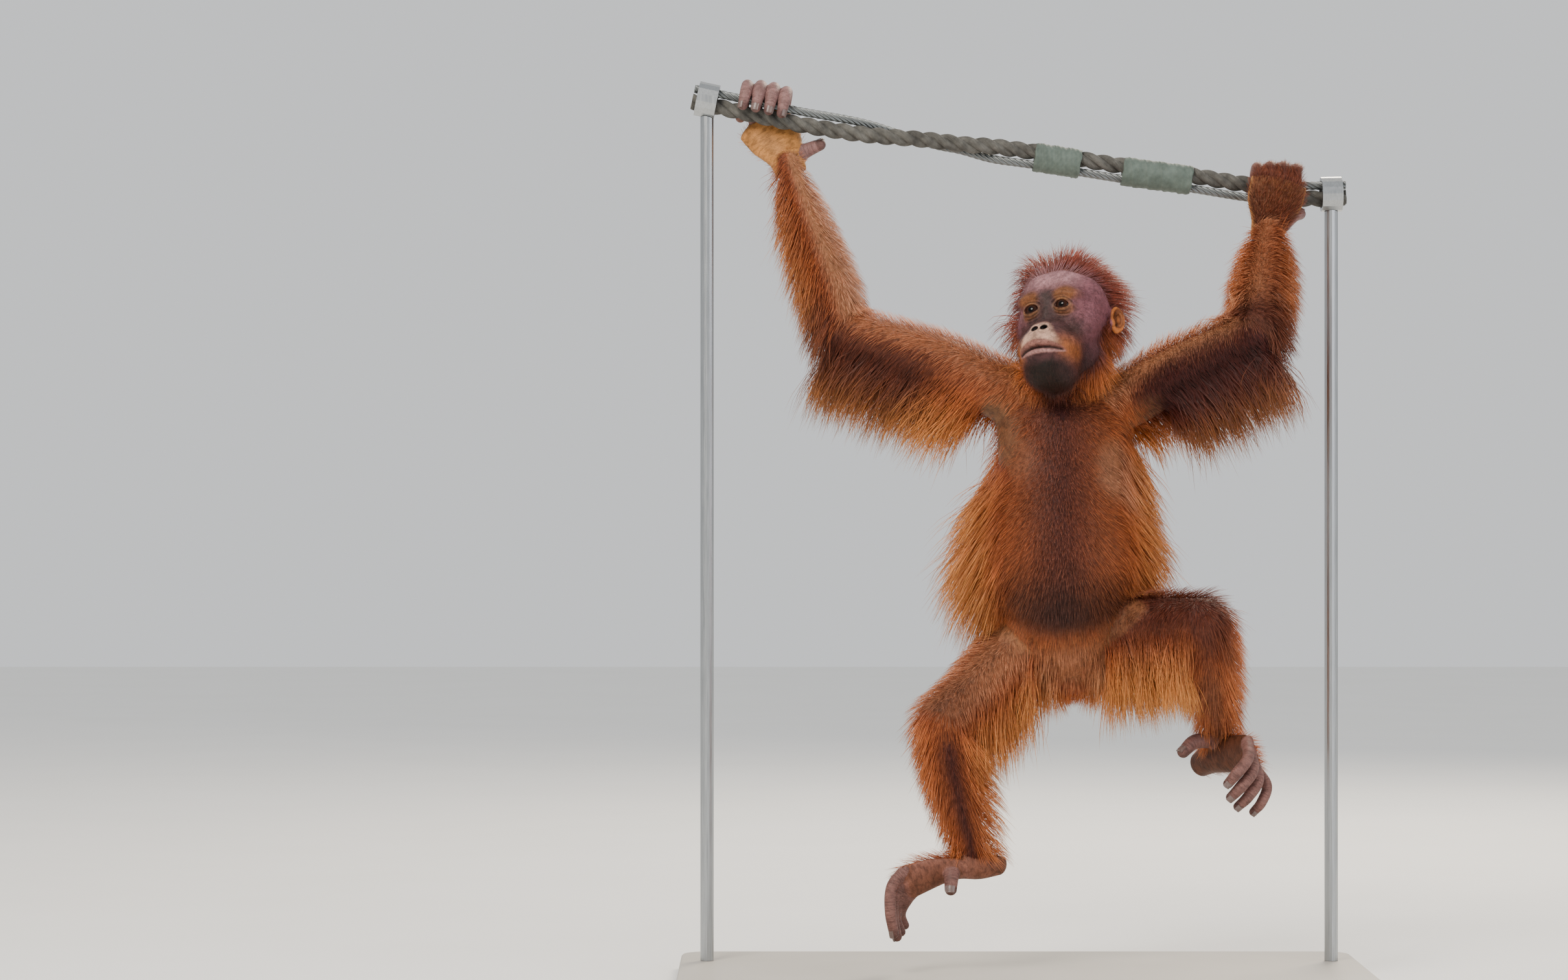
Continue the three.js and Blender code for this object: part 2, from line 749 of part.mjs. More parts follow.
const tubes = { trunk };
const hosts = {
  torso: addPiece("torso", coatMaterial, torsoCore, torsoGrown),
  pelvis: addPiece("pelvis", coatMaterial, pelvisCore, pelvisGrown),
  head: addPiece("head", faceMaterial, headSolid(), headGrown),
};
for (const [name, side] of [
  ["right", -1],
  ["left", 1],
]) {
  addPiece(`ear_${name}`, bareSkin, ear(side, 0), ear(side, GAP));
  addPiece(`eye_${name}`, eyeMaterial, eyeBall(side), eyeBall(side), true);
}
hosts.neck = addPiece("neck", coatMaterial, neck.solid(), neck.solid(GAP));

// Parts a limb of several tubes, whole and grown, at a joint
function partBoth([whole, grown], point, normal) {
  const [near, far] = part(whole, point, normal, GAP);
  const [nearGrown, farGrown] = part(grown, point, normal, 0);
  return [
    [near, nearGrown],
    [far, farGrown],
  ];
}

for (const side of ["right", "left"]) {
  const upper = new Tube(armStations[side].upper, BACK, { rings: 6, sides: 10 });
  const fore = new Tube(armStations[side].fore, BACK, { rings: 7, sides: 10, roundStart: true, roundEnd: false });
  const palm = new Tube(palmStations[side], LEFT, { rings: 5, sides: 12 });
  const upperLine = ELBOW[side].clone().sub(SHOULDER[side]).normalize();
  const foreLine = WRIST[side].clone().sub(ELBOW[side]).normalize();
  const arm = both((grow) => union([upper, fore, palm].map((tube) => tube.solid(grow))));
  const [upperArm, rest] = partBoth(arm, ELBOW[side], upperLine.clone().add(foreLine));
  const [forearm, hand] = partBoth(rest, WRIST[side], foreLine);
  hosts[`upper_arm_${side}`] = addPiece(`upper_arm_${side}`, coatMaterial, ...upperArm);
  hosts[`forearm_${side}`] = addPiece(`forearm_${side}`, coatMaterial, ...forearm);
  hosts[`hand_${side}`] = addPiece(`hand_${side}`, bareSkin, ...hand);
  Object.assign(tubes, { [`upper_arm_${side}`]: upper, [`forearm_${side}`]: fore });
  FINGER_NAMES.forEach((name, order) => {
    const finger = gripFinger(side, order);
    addPiece(`finger_${name}_${side}`, bareSkin, finger.solid(), finger.solid(GAP));
  });
  addPiece(`thumb_${side}`, bareSkin, thumbs[side].solid(), thumbs[side].solid(GAP));
}

for (const side of ["right", "left"]) {
  const thigh = new Tube(legStations[side].thigh, BACK, { rings: 6, sides: 10 });
  const shin = new Tube(legStations[side].shin, LEFT, { rings: 7, sides: 10, roundStart: true });
  const foot = new Tube(footStations[side], BACK, { rings: 6, sides: 10, roundStart: true });
  const thighLine = KNEE[side].clone().sub(HIP[side]).normalize();
  const shank = ANKLE[side].clone().sub(KNEE[side]).normalize();
  const leg = both((grow) => union([thigh, shin, foot].map((tube) => tube.solid(grow))));
  const [thighPair, rest] = partBoth(leg, KNEE[side], thighLine.clone().add(shank));
  const [shinPair, footPair] = partBoth(rest, ANKLE[side].clone().addScaledVector(shank, -8), shank);
  hosts[`thigh_${side}`] = addPiece(`thigh_${side}`, coatMaterial, ...thighPair);
  hosts[`shin_${side}`] = addPiece(`shin_${side}`, coatMaterial, ...shinPair);
  hosts[`foot_${side}`] = addPiece(`foot_${side}`, bareSkin, ...footPair);
  Object.assign(tubes, { [`thigh_${side}`]: thigh, [`shin_${side}`]: shin, [`foot_${side}`]: foot });
  TOE_NAMES.forEach((name, order) => {
    const digit = toe(side, order);
    addPiece(`toe_${name}_${side}`, bareSkin, digit.solid(), digit.solid(GAP));
  });
}

// Stand: a rounded base, and two rods that end in a collar round each end of the cable

function baseSolid() {
  const { long, deep, thick, corner } = BASE;
  const bevel = 2;
  const [x, y] = [long / 2 - bevel, deep / 2 - bevel];
  const shape = new THREE.Shape();
  shape.moveTo(-x + corner, -y);
  shape.lineTo(x - corner, -y);
  shape.absarc(x - corner, -y + corner, corner, -Math.PI / 2, 0);
  shape.absarc(x - corner, y - corner, corner, 0, Math.PI / 2);
  shape.absarc(-x + corner, y - corner, corner, Math.PI / 2, Math.PI);
  shape.absarc(-x + corner, -y + corner, corner, Math.PI, 1.5 * Math.PI);
  const plate = new THREE.ExtrudeGeometry(shape, {
    depth: thick - 2 * bevel,
    bevelThickness: bevel,
    bevelSize: bevel,
    bevelSegments: 1,
    curveSegments: 3,
  });
  return solidOf(plate.translate(0, 0, bevel));
}

const stand = (name, colour, metalness, solid) =>
  addPiece(name, new THREE.MeshStandardMaterial({ color: colour, roughness: 0.4, metalness }), solid, solid, true);
stand("stand_base", COLOURS.base, 0, baseSolid());

const COLLAR = { inner: ROPE_RADIUS + 6.5, outer: ROPE_RADIUS + 10.5, half: 12 };
function collarGeometry(inner, outer, half) {
  const profile = [
    [inner, -half],
    [outer, -half],
    [outer, half],
    [inner, half],
    [inner, -half],
  ];
  const points = profile.map(([x, y]) => new THREE.Vector2(Math.max(x, 0), y));
  return new THREE.LatheGeometry(points, 16);
}

for (const [side, x] of [
  ["right", -ROD_X],
  ["left", ROD_X],
]) {
  const share = x < 0 ? 0.022 : 0.978;
  const { middle, along } = cableFrame(share);
  const turn = new THREE.Quaternion().setFromUnitVectors(at(0, 1, 0), along);
  const place = new THREE.Matrix4().compose(middle, turn, at(1, 1, 1));
  const ring = solidOf(collarGeometry(COLLAR.inner, COLLAR.outer, COLLAR.half).applyMatrix4(place));
  const drum = new THREE.CylinderGeometry(COLLAR.outer + GAP, COLLAR.outer + GAP, 2 * COLLAR.half + 12, 20);
  stand(`stand_collar_${side}`, COLOURS.rod, 0.8, ring);
  const foot = BASE.thick + GAP;
  const rod = new THREE.CylinderGeometry(ROD_RADIUS, ROD_RADIUS, middle.z - foot, 16);
  rod.rotateX(Math.PI / 2).translate(middle.x, middle.y, (middle.z + foot) / 2);
  stand(`stand_rod_${side}`, COLOURS.rod, 0.8, largest(solidOf(rod).subtract(solidOf(drum.applyMatrix4(place)))));
}

// Coat: rows of flat, tapered locks that hang from a line on the surface

// Rings of a lock: how far along it, and its width and thickness there
const LONG_LOCK = 40;
const LONG_SHAPE = [
  [0, 0.85, 1.1],
  [0.4, 1, 0.9],
  [0.75, 0.62, 0.55],
];
const SHORT_SHAPE = [
  [0, 0.9, 1.1],
  [0.5, 0.95, 0.8],
];

// One lock from its root: it leaves along "way", droops, and tapers to a point
function lockSolid({ root, normal, way, side, length, wide, thick, droop }, grow = 0) {
  const sink = 5;
  const start = root.clone().addScaledVector(normal, -sink);
  const middle = root.clone().addScaledVector(way, length * 0.5);
  const end = root.clone().addScaledVector(way, length).addScaledVector(DOWN, length * droop);
  const line = new THREE.QuadraticBezierCurve3(start, middle, end);
  const shape = length > LONG_LOCK ? LONG_SHAPE : SHORT_SHAPE;
  const rings = shape.map(([share, w, t]) => {
    const centre = line.getPoint(share);
    const tangent = line.getTangent(share);
    const across = side.clone().addScaledVector(tangent, -side.dot(tangent)).normalize();
    const through = tangent.clone().cross(across);
    // The edges are sharp, so a grown lock is much wider but hardly thicker
    const [half, ridge, flat] = [(wide * w) / 2 + 6 * grow, (thick * t) / 2 + grow * 1.2, (thick * t) / 4 + grow];
    return [
      centre.clone().addScaledVector(across, half).addScaledVector(through, -flat),
      centre.clone().addScaledVector(through, ridge),
      centre.clone().addScaledVector(across, -half).addScaledVector(through, -flat),
    ];
  });
  const tip = line.getTangent(1).setLength(grow * 4).add(end);
  return skinOver([...rings, [tip]]);
}

// A row of locks on a tube, from u0 to u1, on the side that faces "toward". They lean from "lie" towards
// the surface's normal by "lift", and their flat side faces "face", or lies on the surface.
function coatRow(host, tube, row) {
  const { u, toward, count, length, lie, lift = 0.5, droop = 0.25, wide = 24, face } = row;
  const locks = Array.from({ length: count }, (_, i) => {
    const share = (i + 0.5) / count;
    const { point, normal, along } = tube.surface(u[0] + (u[1] - u[0]) * share, toward);
    const out = lie.clone().multiplyScalar(1 - lift).addScaledVector(normal, lift);
    out.addScaledVector(along, random(-0.12, 0.12)).normalize();
    const side = (face ?? normal).clone().cross(out).normalize();
    const reach = THREE.MathUtils.lerp(length[0], length[1], share) * random(0.88, 1.1);
    const size = { length: reach, wide: wide * random(0.9, 1.15), thick: 5, droop };
    return { root: point, normal, way: out, side, ...size };
  });
  plant(host, locks);
}

function plant(host, row) {
  if (PLAIN_COAT) return curtain(host, row);
  host.locks.push(...row.map((lock) => lockSolid(lock)));
  host.grownLocks.push(...row.map((lock) => lockSolid(lock, GAP)));
}

// The plain form of a row: one smooth curtain, from the roots out to the tips
function curtain(host, row) {
  for (const grow of [0, GAP]) {
    const rings = row.map(({ root, normal, way, length, droop }) => {
      const end = root.clone().addScaledVector(way, length).addScaledVector(DOWN, length * droop);
      const across = way.clone().cross(row.at(-1).root.clone().sub(row[0].root)).normalize();
      const [inner, outer] = [4 + grow, 0.8 + grow];
      const deep = root.clone().addScaledVector(normal, -5);
      return [
        deep.clone().addScaledVector(across, inner),
        end.clone().addScaledVector(across, outer),
        end.clone().addScaledVector(across, -outer),
        deep.clone().addScaledVector(across, -inner),
      ];
    });
    (grow ? host.grownLocks : host.locks).push(skinOver(rings));
  }
}

const mix = (...parts) => parts.reduce((sum, [way, share]) => sum.addScaledVector(way, share), at(0, 0, 0)).normalize();

const arms = {
  right: { under: [76, 70], fore: [44, 56], foreIn: [22, 32] },
  left: { under: [64, 72], fore: [32, 44], foreIn: [36, 56] },
};
for (const side of ["right", "left"]) {
  const out = side === "right" ? RIGHT : LEFT;
  const arm = [hosts[`upper_arm_${side}`], tubes[`upper_arm_${side}`]];
  const under = mix([DOWN, 1], [FRONT, 0.2]);
  const underBack = mix([DOWN, 1], [BACK, 1]);
  const hang = { lie: mix([DOWN, 1], [out, 0.25]), lift: 0.4, droop: 0.15 };
  coatRow(...arm, { ...hang, u: [0.34, 1], toward: under, count: 6, length: arms[side].under, face: FRONT });
  coatRow(...arm, { ...hang, u: [0.3, 0.98], toward: underBack, count: 5, length: arms[side].under, face: FRONT });
  coatRow(...arm, { ...hang, u: [0.4, 1], toward: BACK, count: 4, length: [60, 66] });

  const fore = [hosts[`forearm_${side}`], tubes[`forearm_${side}`]];
  const down = ELBOW[side].clone().sub(WRIST[side]).normalize();
  const trail = { lie: down, lift: 0.42, droop: 0.08 };
  const inner = out.clone().negate();
  coatRow(...fore, { ...trail, u: [0.9, 0.06], toward: out, count: 5, length: arms[side].fore, face: FRONT });
  coatRow(...fore, { ...trail, u: [0.85, 0.1], toward: mix([out, 0.3], [BACK, 1]), count: 3, length: [40, 50] });
  coatRow(...fore, { ...trail, u: [0.8, 0.2], toward: inner, count: 3, length: arms[side].foreIn, face: FRONT });
}

const legs = {
  right: { under: [92, 62], knee: [30, 34], outer: [30, 34], inner: [48, 44] },
  left: { under: [84, 74], knee: [24, 28], outer: [32, 36], inner: [40, 40] },
};
for (const side of ["right", "left"]) {
  const out = side === "right" ? RIGHT : LEFT;
  const { under, knee, outer, inner } = legs[side];
  const thigh = [hosts[`thigh_${side}`], tubes[`thigh_${side}`]];
  const line = KNEE[side].clone().sub(HIP[side]).normalize();
  const hang = { lie: DOWN, lift: 0.3, droop: 0.05 };
  const underBack = mix([DOWN, 1], [BACK, 0.8]);
  coatRow(...thigh, { ...hang, u: [0.3, 0.95], toward: DOWN, count: 5, length: under, face: FRONT });
  coatRow(...thigh, { ...hang, u: [0.2, 0.8], toward: underBack, count: 3, length: under, face: FRONT });
  coatRow(...thigh, { ...hang, u: [0.6, 1], toward: mix([out, 1], [UP, 0.5]), count: 2, length: knee, lie: line, face: FRONT });

  const shin = [hosts[`shin_${side}`], tubes[`shin_${side}`]];
  coatRow(...shin, { ...hang, u: [0.04, 0.7], toward: out, count: 4, length: outer, lift: 0.4, face: FRONT });
  coatRow(...shin, { ...hang, u: [0.1, 0.76], toward: out.clone().negate(), count: 4, length: inner, lift: 0.46, face: FRONT });
  coatRow(...shin, { ...hang, u: [0.16, 0.7], toward: BACK, count: 3, length: [44, 38], lift: 0.36 });
}
const instep = { u: [0.5, 0.98], count: 3, droop: 0.1, wide: 18, face: FRONT };
coatRow(hosts.foot_right, tubes.foot_right, { ...instep, toward: at(-0.3, 0.4, 1), lie: at(-1, 0, -0.4), length: [26, 34] });
coatRow(hosts.foot_left, tubes.foot_left, { ...instep, toward: at(1, 0.5, 0), lie: at(0.7, -0.2, -0.8), length: [34, 36] });

// The long hair of the back shows on each side of the belly
const flanks = {
  right: { length: [78, 108], lift: 0.46 },
  left: { length: [60, 90], lift: 0.37 },
};
for (const side of ["right", "left"]) {
  const out = side === "right" ? RIGHT : LEFT;
  const row = { u: [0.2, 0.53], count: 5, lie: DOWN, droop: 0.02, wide: 28, ...flanks[side] };
  coatRow(hosts.torso, trunk, { ...row, toward: mix([out, 1], [BACK, 0.25]), face: FRONT });
  coatRow(hosts.torso, trunk, { ...row, toward: mix([out, 1], [BACK, 0.8]), face: mix([FRONT, 1], [out, -0.6]) });
  coatRow(hosts.torso, trunk, { ...row, toward: mix([out, 0.4], [BACK, 1]), count: 3, length: [60, 76], lift: 0.36 });
}
coatRow(hosts.pelvis, trunk, { u: [0.84, 0.98], toward: BACK, count: 2, length: [48, 44], lie: DOWN, lift: 0.35, wide: 28 });

// Head: hair stands up over the crown and falls behind the ears and down the nape
function headRow({ from, to, lean, count, length, lift, wide = 20 }) {
  const row = Array.from({ length: count }, (_, i) => {
    const way = from.clone().lerp(to, (i + 0.5) / count).normalize();
    const root = headSurface(HEAD_HEART, way).applyMatrix4(headMatrix);
    const normal = way.clone().transformDirection(headMatrix);
    const back = lean.clone().transformDirection(headMatrix);
    const out = back.multiplyScalar(1 - lift).addScaledVector(normal, lift);
    out.addScaledVector(LEFT, random(-0.1, 0.1)).normalize();
    const side = normal.clone().cross(out).normalize();
    return { root, normal, way: out, side, length: length * random(0.9, 1.12), wide, thick: 5, droop: 0.1 };
  });
  plant(hosts.head, row);
}
for (const side of [1, -1]) {
  const halo = { count: 5, length: 31, lift: 0.62, wide: 22 };
  headRow({ ...halo, from: at(side, 0.0, 0.1), to: at(side * 0.05, -0.3, 1), lean: at(0, 0.6, 1) });
  const nape = { count: 3, length: 44, lift: 0.42, wide: 22 };
  headRow({ ...nape, from: at(side * 0.95, 0.5, -0.3), to: at(side * 0.3, 1, -0.4), lean: at(side * 0.2, 0.3, -1) });
}
headRow({ from: at(0.8, 0.3, 0.8), to: at(-0.8, 0.3, 0.8), lean: at(0, 1, 0.2), count: 3, length: 34, lift: 0.5 });
headRow({ from: at(0.8, 0.9, 0.2), to: at(-0.8, 0.9, 0.2), lean: at(0, 0.4, -1), count: 3, length: 38, lift: 0.4 });

// Each coat is cut clear of every other piece and of the coats before it, then joined to its own piece
const coats = [];
for (const piece of pieces) {
  if (!piece.locks.length) continue;
  let coat = union(piece.locks);
  const others = pieces.filter((other) => other !== piece).map(({ grown }) => grown);
  for (const other of [...others, ...coats].filter((solid) => boxesMeet(coat, solid))) coat = coat.subtract(other);
  coats.push(union(piece.grownLocks));
  piece.core = piece.core.add(coat);
}

const model = new THREE.Group();
for (const { name, core, material } of pieces) model.add(meshOf(name, core, material));

export default model;
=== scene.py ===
# %% [markdown]
# # A young orangutan hanging from a cable
# A still, life-size model of a three to four year old orangutan that hangs by both hands from a
# rope and a steel wire, on a plain display stand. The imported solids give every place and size.
# This file dresses them: one skin over the whole body, eyes, nails, a coat of solid tufts, and
# the finishes of the rope, the wire and the stand.

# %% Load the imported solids
import bpy
import math
import time
import numpy as np
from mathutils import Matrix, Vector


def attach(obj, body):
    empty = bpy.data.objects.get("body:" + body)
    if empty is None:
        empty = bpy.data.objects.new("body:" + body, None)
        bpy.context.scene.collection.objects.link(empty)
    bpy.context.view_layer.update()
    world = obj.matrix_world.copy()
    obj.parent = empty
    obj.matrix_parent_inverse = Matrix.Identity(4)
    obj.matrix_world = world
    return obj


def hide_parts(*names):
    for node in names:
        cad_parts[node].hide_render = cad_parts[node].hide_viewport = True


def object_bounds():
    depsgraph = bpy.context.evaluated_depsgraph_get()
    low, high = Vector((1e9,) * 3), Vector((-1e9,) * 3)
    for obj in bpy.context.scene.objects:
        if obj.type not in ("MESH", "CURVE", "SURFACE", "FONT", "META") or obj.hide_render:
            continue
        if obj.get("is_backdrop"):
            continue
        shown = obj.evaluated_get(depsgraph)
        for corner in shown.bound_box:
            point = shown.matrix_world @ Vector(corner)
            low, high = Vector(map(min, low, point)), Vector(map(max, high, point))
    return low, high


began = time.time()
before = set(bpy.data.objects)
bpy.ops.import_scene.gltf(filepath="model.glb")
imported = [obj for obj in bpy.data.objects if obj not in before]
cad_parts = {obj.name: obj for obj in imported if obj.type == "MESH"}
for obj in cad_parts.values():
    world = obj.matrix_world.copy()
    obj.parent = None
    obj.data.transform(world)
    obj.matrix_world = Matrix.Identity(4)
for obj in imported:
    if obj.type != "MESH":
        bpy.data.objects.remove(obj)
solid_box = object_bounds()
print("solids", len(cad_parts), "box", [tuple(round(v, 3) for v in corner) for corner in solid_box])

# %% [markdown]
# ## Small helpers
# All shapes are worked out in millimetres, as in the solids, and go into Blender in metres. Colours
# are written as they look on a screen, and one function turns them into the linear numbers that
# the renderer wants. One function adds a material node with its settings and its links.

# %% Colour and node helpers
MM = 0.001


def linear(code):
    parts = [int(code[i:i + 2], 16) / 255 for i in (1, 3, 5)]
    return [v / 12.92 if v <= 0.04045 else ((v + 0.055) / 1.055) ** 2.4 for v in parts] + [1.0]


def add(tree, kind, inputs=None, **settings):
    made = tree.nodes.new("ShaderNode" + kind)
    for name, value in settings.items():
        setattr(made, name, value)
    for name, value in (inputs or {}).items():
        if isinstance(value, bpy.types.NodeSocket):
            tree.links.new(value, made.inputs[name])
        else:
            made.inputs[name].default_value = value
    return made


def marks(mm):
    """The scale that makes a pattern's marks this many mm wide."""
    return 1000.0 / mm


def set_stops(ramp_node, stops):
    """Colours at places from 0 to 1 on a colour ramp."""
    elements = ramp_node.color_ramp.elements
    while len(elements) < len(stops):
        elements.new(0.5)
    for stop, (at, code) in zip(elements, stops):
        stop.position, stop.color = at, linear(code)


def new_material(name):
    material = bpy.data.materials.new(name)
    material.use_nodes = True
    material.node_tree.nodes.clear()
    return material, material.node_tree


def show(tree, shader):
    output = add(tree, "OutputMaterial", {"Surface": shader.outputs[0]})
    output.is_active_output = True


# %% Mesh helpers
def unit(v):
    return v / np.maximum(np.linalg.norm(v, axis=-1, keepdims=True), 1e-9)


def rows_dot(a, b):
    return np.einsum("ij,ij->i", a, b)


def make_mesh(name, points, faces, material, smooth=True):
    """points in mm, faces as one array of triangles or of quads."""
    mesh = bpy.data.meshes.new(name)
    points = np.asarray(points, np.float32) * MM
    faces = np.asarray(faces, np.int32)
    mesh.vertices.add(len(points))
    mesh.vertices.foreach_set("co", points.ravel())
    mesh.loops.add(faces.size)
    mesh.loops.foreach_set("vertex_index", faces.ravel())
    mesh.polygons.add(len(faces))
    mesh.polygons.foreach_set("loop_start", np.arange(len(faces), dtype=np.int32) * faces.shape[1])
    mesh.polygons.foreach_set("use_smooth", np.full(len(faces), smooth))
    mesh.update(calc_edges=True)
    mesh.validate()
    mesh.materials.append(material)
    piece = bpy.data.objects.new(name, mesh)
    bpy.context.scene.collection.objects.link(piece)
    return piece


def point_values(mesh, name, kind, values):
    layer = mesh.attributes.new(name, kind, "POINT")
    key = {"FLOAT": "value", "FLOAT_VECTOR": "vector", "FLOAT_COLOR": "color"}[kind]
    layer.data.foreach_set(key, np.asarray(values, np.float32).ravel())


# %% [markdown]
# ## Camera, floor and light
# The photograph was taken from far away with a long lens, level with the middle of the body, so the
# camera stands five metres off with a long lens. The floor is a plain pale sheet that the base
# stands on. Large soft lamps stand in for the open shade of the photograph, with a low fill in
# front and a stronger lamp behind that catches the edges of the hair.

# %% Camera
FRAME_MM = 1815.0  # what the picture's width covers at the animal
FAR = 5.0
camera_data = bpy.data.cameras.new("camera")
camera = bpy.data.objects.new("camera", camera_data)
bpy.context.scene.collection.objects.link(camera)
camera_data.sensor_width = 36.0
camera_data.lens = 36.0 * FAR / (FRAME_MM * MM)
camera_data.clip_end = 60.0
camera.location = (-0.2775, -FAR, 0.573)
camera.rotation_euler = (math.radians(90), 0, 0)
bpy.context.scene.camera = camera
print("lens", round(camera_data.lens, 1), "mm")

# %% Floor
# Matt emulsion, rolled on: no shine, and a tone that hardly changes from place to place.
FLOOR_HALF = 9000
floor_material, tree = new_material("matt_painted_floor")
speckle = add(tree, "TexNoise", {"Scale": marks(16.7), "Detail": 3.0})
tone = add(tree, "Mix", {6: linear("#eae9e5"), 7: linear("#f0efec"), 0: speckle.outputs["Fac"]},
           data_type="RGBA")
show(tree, add(tree, "BsdfPrincipled", {"Base Color": tone.outputs[2], "Roughness": 0.8}))
corners = [(x * FLOOR_HALF, y * FLOOR_HALF, 0) for x, y in ((-1, -1), (1, -1), (1, 1), (-1, 1))]
floor = make_mesh("floor", corners, [(0, 1, 2, 3)], floor_material)
floor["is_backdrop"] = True


# %% Lights
def lamp(name, place, aim, size, watts, colour="#ffffff"):
    data = bpy.data.lights.new(name, "AREA")
    data.shape = "DISK"
    data.size = size
    data.energy = watts
    data.color = linear(colour)[:3]
    thing = bpy.data.objects.new(name, data)
    bpy.context.scene.collection.objects.link(thing)
    thing.location = place
    way = np.array(aim) - np.array(place)
    lean = math.atan2(np.hypot(way[0], way[1]), -way[2])
    thing.rotation_euler = (lean, 0, math.atan2(way[1], way[0]) - math.pi / 2)


lamp("lamp_key", (-1.6, -2.6, 3.0), (0, 0, 0.6), 1.6, 150, "#fff6ec")
lamp("lamp_fill", (2.8, -2.4, 1.4), (0, 0, 0.6), 2.4, 44, "#f4f6ff")
lamp("lamp_edge", (1.2, 2.6, 2.6), (0, 0, 0.7), 1.6, 130, "#fff1dc")
world = bpy.data.worlds.new("studio")
bpy.context.scene.world = world
world.use_nodes = True
world.node_tree.nodes.clear()
sky = add(world.node_tree, "Background", {"Color": linear("#eef0f2"), "Strength": 0.95})
add(world.node_tree, "OutputWorld", {"Surface": sky.outputs[0]})

# %% [markdown]
# ## The body as a field of distances
# A body of muscle has no sharp joins, so it is not built from separate solids here. Each limb is a
# soft tube along its bones, oval in section, and the head is a group of blended eggs. All of them
# are written as distances: below zero inside, above zero outside. Distances blend smoothly into
# each other at shoulders and hips, and stay apart between fingers. One closed skin is then
# drawn where the distance is zero. The stations repeat the named points of the solids.

# %% Landmarks
HEAD = np.array([50.7, -5, 779.0])
SHOULDER = {"right": (-37, 14, 694), "left": (134, 10, 686)}
ELBOW = {"right": (-209, 76, 764), "left": (261, -90, 754)}
WRIST = {"right": (-273, 110, 961), "left": (290, 66, 880)}
HIP = {"right": (9, 8, 401), "left": (95, 4, 411)}
KNEE = {"right": (-95, -52, 313), "left": (197, -106, 426)}
ANKLE = {"right": (-61, -40, 156), "left": (224, -14, 296)}
SIDES = {"right": -1, "left": 1}
MIDDLE_X = 48  # the line between the animal's right and left halves
UP = np.array([0.0, 0, 1])
LEFT = np.array([1.0, 0, 0])
BACK = np.array([0.0, 1, 0])


def curve_through(stations, share):
    """A smooth line through rows of numbers, read at shares from 0 to 1."""
    rows = np.asarray(stations, float)
    rows = np.vstack([2 * rows[0] - rows[1], rows, 2 * rows[-1] - rows[-2]])
    place = np.clip(np.asarray(share, float), 0, 1) * (len(rows) - 3)
    k = np.minimum(place.astype(int), len(rows) - 4)
    t = (place - k)[:, None]
    a, b, c, d = rows[k], rows[k + 1], rows[k + 2], rows[k + 3]
    square, cube = 2 * a - 5 * b + 4 * c - d, 3 * b - a - 3 * c + d
    return 0.5 * (2 * b + (c - a) * t + square * t ** 2 + cube * t ** 3)


def soft_union(a, b, k):
    """The nearer of two distances, rounded over k mm where they meet."""
    h = np.maximum(k - np.abs(a - b), 0) / k
    return np.minimum(a, b) - h * h * k / 4


# %% A tube of flesh
class Limb:
    """An oval tube along a smooth line; wide runs along "way", deep across it."""

    def __init__(self, name, stations, way, blend=12.0, cap=0.8, group="body"):
        self.name, self.blend, self.cap, self.group = name, blend, cap, group
        rows = np.array([(*centre, wide, deep) for centre, wide, deep in stations], float)
        line = curve_through(rows[:, :3], np.linspace(0, 1, 400))
        gone = np.r_[0, np.cumsum(np.linalg.norm(np.diff(line, axis=0), axis=1))]
        self.length = gone[-1]
        count = max(8, int(self.length / (3.5 if group == "digit" else 6.0)))
        share = np.interp(np.linspace(0, self.length, count), gone, np.linspace(0, 1, 400))
        at = curve_through(rows, share)
        self.centre, self.size = at[:, :3], at[:, 3:]
        self.along = unit(np.gradient(self.centre, axis=0))
        ways = np.atleast_2d(np.asarray(way, float))
        ways = curve_through(ways, share) if len(ways) > 1 else np.repeat(ways, count, 0)
        ways = ways - self.along * rows_dot(ways, self.along)[:, None]
        self.wide_way = unit(ways)
        self.deep_way = np.cross(self.along, self.wide_way)
        reach = self.size.max() + 26
        self.low, self.high = self.centre.min(0) - reach, self.centre.max(0) + reach

    def read(self, points):
        """Distance, share along the line, and the direction round it as (cos, sin)."""
        line = self.centre.astype(np.float32)
        near = points.astype(np.float32) @ (-2 * line.T) + (line ** 2).sum(1)
        k = near.argmin(1)
        off = rows_dot(points - self.centre[k], self.along[k])
        spacing = self.length / (len(self.centre) - 1)
        other = np.clip(k + np.sign(off).astype(int), 0, len(self.centre) - 1)
        f = np.where(other == k, 0, np.minimum(np.abs(off) / spacing, 0.5))[:, None]
        tables = (self.centre, self.size, self.wide_way, self.deep_way)
        centre, size, wide_way, deep_way = [a[k] * (1 - f) + a[other] * f for a in tables]
        gap = points - centre
        a, b = rows_dot(gap, wide_way), rows_dot(gap, deep_way)
        past = rows_dot(gap, self.along[k]) * (other == k)
        end = size.min(1) * self.cap
        spot = np.stack([a / size[:, 0], b / size[:, 1], past / end], 1)
        slope = np.stack([a / size[:, 0] ** 2, b / size[:, 1] ** 2, past / end ** 2], 1)
        inside = np.linalg.norm(spot, axis=1)
        steep = np.maximum(np.linalg.norm(slope, axis=1), 1e-6)
        distance = np.where(inside < 0.05, -size.min(1), inside * (inside - 1) / steep)
        share = (k + np.sign(off) * f[:, 0]) / (len(self.centre) - 1)
        return distance, share, spot[:, :2]

    def distance(self, points):
        return self.read(points)[0]


# %% The head's own axes
def turn_matrix(axis, degrees):
    c, s = math.cos(math.radians(degrees)), math.sin(math.radians(degrees))
    a, b = [(1, 2), (2, 0), (0, 1)][axis]
    matrix = np.eye(3)
    matrix[a, a], matrix[a, b], matrix[b, a], matrix[b, b] = c, -s, s, c
    return matrix


